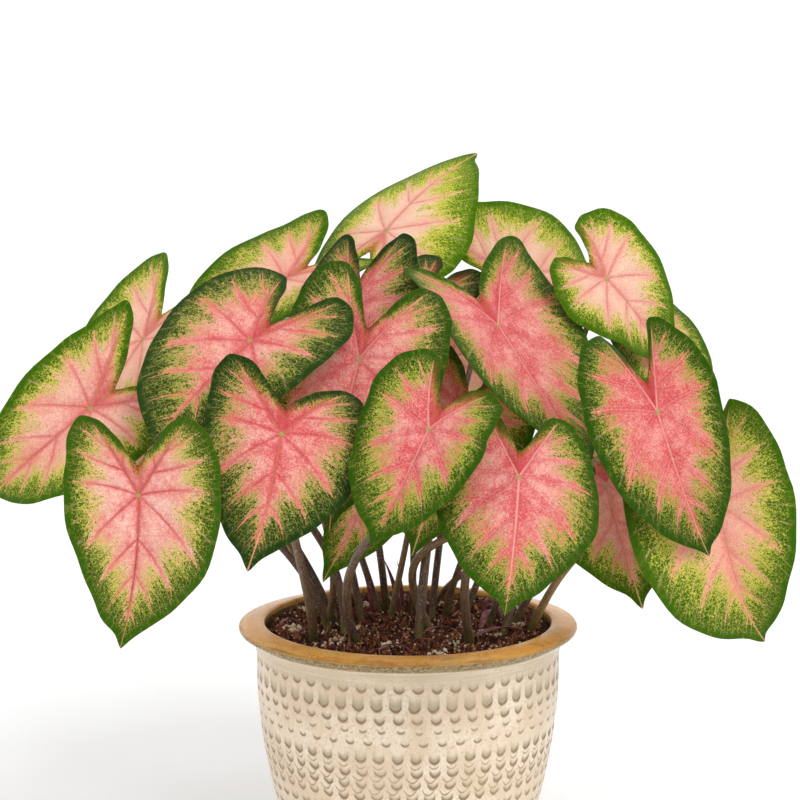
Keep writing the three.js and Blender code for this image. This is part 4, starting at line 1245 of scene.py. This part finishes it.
def scatter(name, group, patch, **inputs):
    """Runs the group on a copy of the patch and keeps the result as a plain mesh."""
    carrier = put_in_scene(name, patch.copy())
    modifier = carrier.modifiers.new("grains", "NODES")
    modifier.node_group = group
    for item in group.interface.items_tree:
        if item.item_type == "SOCKET" and item.in_out == "INPUT" and item.name in inputs:
            modifier[item.identifier] = inputs[item.name]
    carrier.update_tag()
    bpy.context.view_layer.update()
    solved = carrier.evaluated_get(bpy.context.evaluated_depsgraph_get())
    mesh = bpy.data.meshes.new_from_object(solved)
    carrier.modifiers.clear()
    carrier.data = mesh
    mesh.name = name
    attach(carrier, "root")
    print(name, "faces:", len(mesh.polygons))


grains = grain_group()
print("inputs of the group:", [item.name for item in grains.interface.items_tree][:-1])

# %% [markdown]
# ## Crumbs, bark and perlite
# Potting mix is a blend: dark crumbs and lumps, brown bark slivers, fibres, tan bits, and white
# perlite that gathers in drifts. Each kind is one row of numbers. A bumpy picture on the soil
# would be lighter to draw, but seen this near from the side it would look flat.

# %% Crumbs, bark and perlite
def grain_skin(name, low, high, rough):
    paint = Paint(name)
    where = paint.place()
    patchy = paint.noise(where, 350.0, 2)
    fine = paint.noise(where, 1500.0, 3, 0.7)
    skin = paint.blend(patchy.ease(0.35, 0.65), low, high)
    skin = paint.blend(fine.ease(0.55, 0.75) * 0.4, skin, low)
    return paint.set(Base_Color=skin, Roughness=rough, Normal=paint.bump(fine, 0.0006, 0.7))


patch_points, patch_faces = ground_patch()
ground = bpy.data.meshes.new("ground_patch")
ground.from_pydata([tuple(p) for p in patch_points], [], patch_faces)

# Perlite lies thickly in some places and thinly in the rest: middle and radius of each, in mm
PERLITE_PATCHES = [(-12, 74, 9), (-27, 52, 10), (79, -2, 11), (58, -31, 9), (-84, -18, 9),
                   (-54, -55, 10), (21, -84, 8), (-12, -66, 7), (35, -62, 8), (-40, -20, 8),
                   (70, 45, 10), (20, 55, 9), (-70, 40, 10)]
face_centres = np.array([patch_points[list(f)].mean(0)[:2] / MM for f in patch_faces])
close = np.zeros(len(patch_faces), bool)
for x, y, across in PERLITE_PATCHES:
    close |= np.hypot(face_centres[:, 0] - x, face_centres[:, 1] - y) < across
drift = bpy.data.meshes.new("perlite_patch")
drift_faces = [face for face, near in zip(patch_faces, close) if near]
drift.from_pydata([tuple(p) for p in patch_points], [], drift_faces)

# Where it lies, dark and light tone, roughness, shape, grains for each square metre, smallest
# and largest size in metres, seed, and how far the grain's middle is lifted off the ground.
KINDS = {
    "soil_lumps": (ground, "180b06", "6a321c", 0.95, (1.0, 0.85, 0.6),
        12000, 0.004, 0.0085, 5, 0.0002),
    "soil_crumbs": (ground, "130804", "743821", 0.95, (1.0, 0.9, 0.7),
        190000, 0.0014, 0.004, 3, 0.0006),
    "soil_bark": (ground, "4e2618", "9c5f3f", 0.85, (2.4, 0.7, 0.35),
        22000, 0.002, 0.005, 11, 0.0016),
    "soil_fibres": (ground, "7d5038", "b88a68", 0.85, (5.0, 0.35, 0.35),
        9000, 0.0015, 0.0032, 17, 0.0022),
    "soil_perlite": (ground, "d8c3a0", "fff2da", 0.8, (1.0, 0.95, 0.85),
        17000, 0.0007, 0.0022, 23, 0.002),
    "soil_perlite_drifts": (drift, "dfcda6", "fff6e0", 0.8, (1.1, 0.95, 0.8),
        56000, 0.0016, 0.0054, 29, 0.0021),
    "soil_tan_bits": (ground, "96602f", "cc9c62", 0.85, (1.8, 0.9, 0.5),
        10000, 0.001, 0.003, 31, 0.0019),
}
for name, (bed, low, high, rough, squash, density, small, large, seed, lift) in KINDS.items():
    skin = grain_skin(f"{name}_skin", low, high, rough)
    stone = lumpy_grain(f"{name}_grain", seed, squash, skin)
    scatter(name, grains, bed, Density=float(density), Smallest=small, Largest=large, Seed=seed,
            Grain=stone, Material=skin, Lift=lift)

# %% [markdown]
# ## Sheath spears and scraps
# Caladiums shed papery sheaths. Three stand in the soil as dark red spears, and others lie
# on it as curled purple strips.

# %% Spears
def sheath_skin():
    paint = Paint("dry_sheath")
    where = paint.place()
    streaks = paint.noise(paint.stretched(where, (900.0, 900.0, 60.0)), 1.0, 3, 0.6)
    blotch = paint.noise(where, 160.0, 2)
    skin = paint.blend(streaks.ease(0.35, 0.65), "45131f", "84324a")
    skin = paint.blend(blotch.ease(0.5, 0.7) * 0.5, skin, "a8656a")
    return paint.set(Base_Color=skin, Roughness=0.5, Normal=paint.bump(streaks, 0.0004, 0.5))


SPEAR_RINGS, SPEAR_SIDES = 28, 14
sheath = sheath_skin()
# Foot, way to the point, bow in the middle, and thickness, in mm
SPEARS = {"left": ([-26, 31], [-7, 2, 34], [6, 0, 2], 2.0),
          "mid": ([-6, 25], [-12, 4, 44], [7, 2, 0], 2.2),
          "right": ([-5, 44], [-3, 6, 38], [4, 0, 0], 1.6)}
for name, (foot, point, bow, thick) in SPEARS.items():
    base = np.array([*foot, SOIL_LEVEL - FOOT_DEPTH / 2])
    tip = base + point + [0, 0, FOOT_DEPTH / 2]
    shares = np.linspace(0, 1, SPEAR_RINGS)
    path = bezier([base, (base + tip) / 2 + bow, tip], shares)
    swell = thick * np.maximum(np.sin(math.pi * (0.3 + 0.7 * shares)), 0.08)
    points, faces = tube(path, swell, SPEAR_SIDES)
    make_piece(f"spear_{name}", points * MM, faces, [sheath], [f"sheath_spear_{name}"])
print("spears:", len(SPEARS))

# %% [markdown]
# ## Fallen scraps
# A dry sheath that has dropped curls up like a wood shaving. Each scrap is a thin closed strip
# along a bent line that rests on the soil at both ends, wide in the middle and twisted on its way.

# %% Curled strips on the soil
# Start, highest point and end of each strip (mm, height above the soil), width and twist.
SCRAPS = [
    ((-9, 37, 2), (-6, 58, 9), (7, 74, 2), 3.0, 0.8),
    ((28, 83, 2), (35, 88, 6), (42, 83, 2), 4.0, 0.4),
    ((53, 12, 2), (56, 18, 14), (54, 24, 3), 4.5, 1.6),
    ((50, -22, 2), (58, -4, 12), (67, 8, 3), 6.0, 0.9),
    ((44, -44, 2), (62, -42, 8), (79, -28, 3), 7.5, 0.5),
    ((-90, -12, 2), (-84, -2, 5), (-74, -8, 2), 3.5, 0.4),
    ((10, -32, 2), (22, -26, 5), (34, -30, 2), 4.5, 0.7),
    ((-70, 50, 2), (-60, 58, 6), (-48, 56, 2), 4.0, 0.9),
    ((60, 52, 2), (70, 44, 7), (72, 30, 2), 5.0, 0.6),
    ((-20, -78, 2), (-10, -74, 5), (2, -80, 2), 3.5, 0.8),
]
STRIP_RINGS, STRIP_SIDES, STRIP_LIFT = 22, 10, 1.5


def strip(start, crest, end, width, twist):
    """A twisted band, closed all round, that narrows to both ends."""
    lift = np.array([0, 0, SOIL_LEVEL + STRIP_LIFT])
    start, crest, end = (np.array(p, float) + lift for p in (start, crest, end))
    shares = np.linspace(0, 1, STRIP_RINGS)
    path = bezier([start, 2 * crest - (start + end) / 2, end], shares)
    tangents = unit(np.gradient(path, axis=0))
    points = []
    for share, centre, tangent in zip(shares, path, tangents):
        level = unit(np.cross(tangent, [0, 0, 1.0]))
        upward = np.cross(level, tangent)
        turn = twist * (share - 0.3) * 2
        broad = level * math.cos(turn) + upward * math.sin(turn)
        thin = np.cross(broad, tangent)
        half = width / 2 * max(math.sin(math.pi * (0.06 + 0.88 * share)), 0.1) ** 0.7
        for i in range(STRIP_SIDES):
            angle = 2 * math.pi * i / STRIP_SIDES
            cup = 0.28 * half * math.cos(angle) ** 2
            points.append(centre + broad * half * math.cos(angle)
                          + thin * (0.35 * math.sin(angle) + cup))
    return np.array(points), tube_faces(STRIP_RINGS, STRIP_SIDES)


def scrap_skin():
    paint = Paint("curled_sheath")
    where = paint.place()
    grainy = paint.noise(where, 500.0, 3, 0.7) - 0.5
    blotch = paint.noise(where, 120.0, 2) - 0.5
    skin = paint.blend((grainy * 2 + 0.5), "5c2738", "8e5563")
    skin = paint.blend(blotch.ease(0.0, 0.15) * 0.6, skin, "b08486")
    skin = paint.blend(blotch.ease(-0.03, -0.15) * 0.6, skin, "3c1620")
    return paint.set(Base_Color=skin, Roughness=0.5 + grainy * 0.3,
                     Normal=paint.bump(grainy, 0.0005, 0.6))


curled = scrap_skin()
for number, scrap in enumerate(SCRAPS):
    points, faces = strip(*scrap)
    make_piece(f"sheath_scrap_{number + 1}", points * MM, faces, [curled], ())
print("scraps:", len(SCRAPS))

# %% [markdown]
# ## Light, floor and camera
# A round pale floor curves up into a wall. White surroundings light the plant evenly, and three
# soft suns give it shape: a key from the right front, a weak fill from the left front and one
# from behind. Area lamps would work too, but a sun is as strong on every leaf. The camera looks
# slightly down on the plant.

# %% Studio
world = bpy.data.worlds.new("studio")
bpy.context.scene.world = world
world.use_nodes = True
background = world.node_tree.nodes["Background"]
background.inputs["Color"].default_value = (1.0, 1.0, 1.0, 1.0)
background.inputs["Strength"].default_value = 0.74


def sun(name, from_place, strength, softness):
    light = bpy.data.lights.new(name, "SUN")
    light.energy = strength
    light.angle = math.radians(softness)
    thing = put_in_scene(name, light)
    thing.rotation_euler = (-Vector(from_place)).to_track_quat("-Z", "Y").to_euler()


sun("key", (0.6, -1.1, 1.25), 1.45, 28)
sun("fill", (-0.9, -0.8, 0.6), 0.3, 40)
sun("back", (0.5, 1.0, 0.9), 0.5, 35)


def sweep():
    """A round floor that curves up into a wall, so that no edge shows from any side."""
    paint = Paint("pale_floor")
    where = paint.place()
    faint = paint.noise(where, 3.0, 2)
    shade = paint.blend(faint.ease(0.3, 0.7), "f6f6f6", "fafafa")
    skin = paint.set(Base_Color=shade, Roughness=0.95, Specular_IOR_Level=0.05)
    bend = np.linspace(0, math.pi / 2, 13)
    curve = [(6.0 + 2.0 * math.sin(a), 2.0 - 2.0 * math.cos(a)) for a in bend]
    profile = [*curve, (8.0, 3.4)]
    turns = 96
    angles = np.linspace(0, 2 * math.pi, turns, endpoint=False)
    points = [(0.0, 0.0, 0.0)]
    for far, high in profile:
        points += [(far * math.cos(a), far * math.sin(a), high) for a in angles]
    faces = [(0, 1 + i, 1 + (i + 1) % turns) for i in range(turns)]
    for ring in range(len(profile) - 1):
        a, b = 1 + ring * turns, 1 + (ring + 1) * turns
        faces += [(a + i, b + i, b + (i + 1) % turns, a + (i + 1) % turns) for i in range(turns)]
    put_in_scene("floor", shape_of("floor", points, faces, [skin]))


sweep()

TILT = math.radians(9.0)
DISTANCE, LENS = 1.8, 116.35
target = Vector((-5.65, 0.0, 352.3)) * MM
camera = put_in_scene("camera", bpy.data.cameras.new("camera"))
camera.data.lens = LENS
camera.data.sensor_width = 36.0
camera.data.clip_end = 60.0
camera.location = target - DISTANCE * Vector((0, math.cos(TILT), -math.sin(TILT)))
camera.rotation_euler = (math.pi / 2 - TILT, 0, 0)
bpy.context.scene.camera = camera
bpy.context.scene.view_settings.view_transform = "Standard"
print("camera at", tuple(round(c, 3) for c in camera.location))

# %% [markdown]
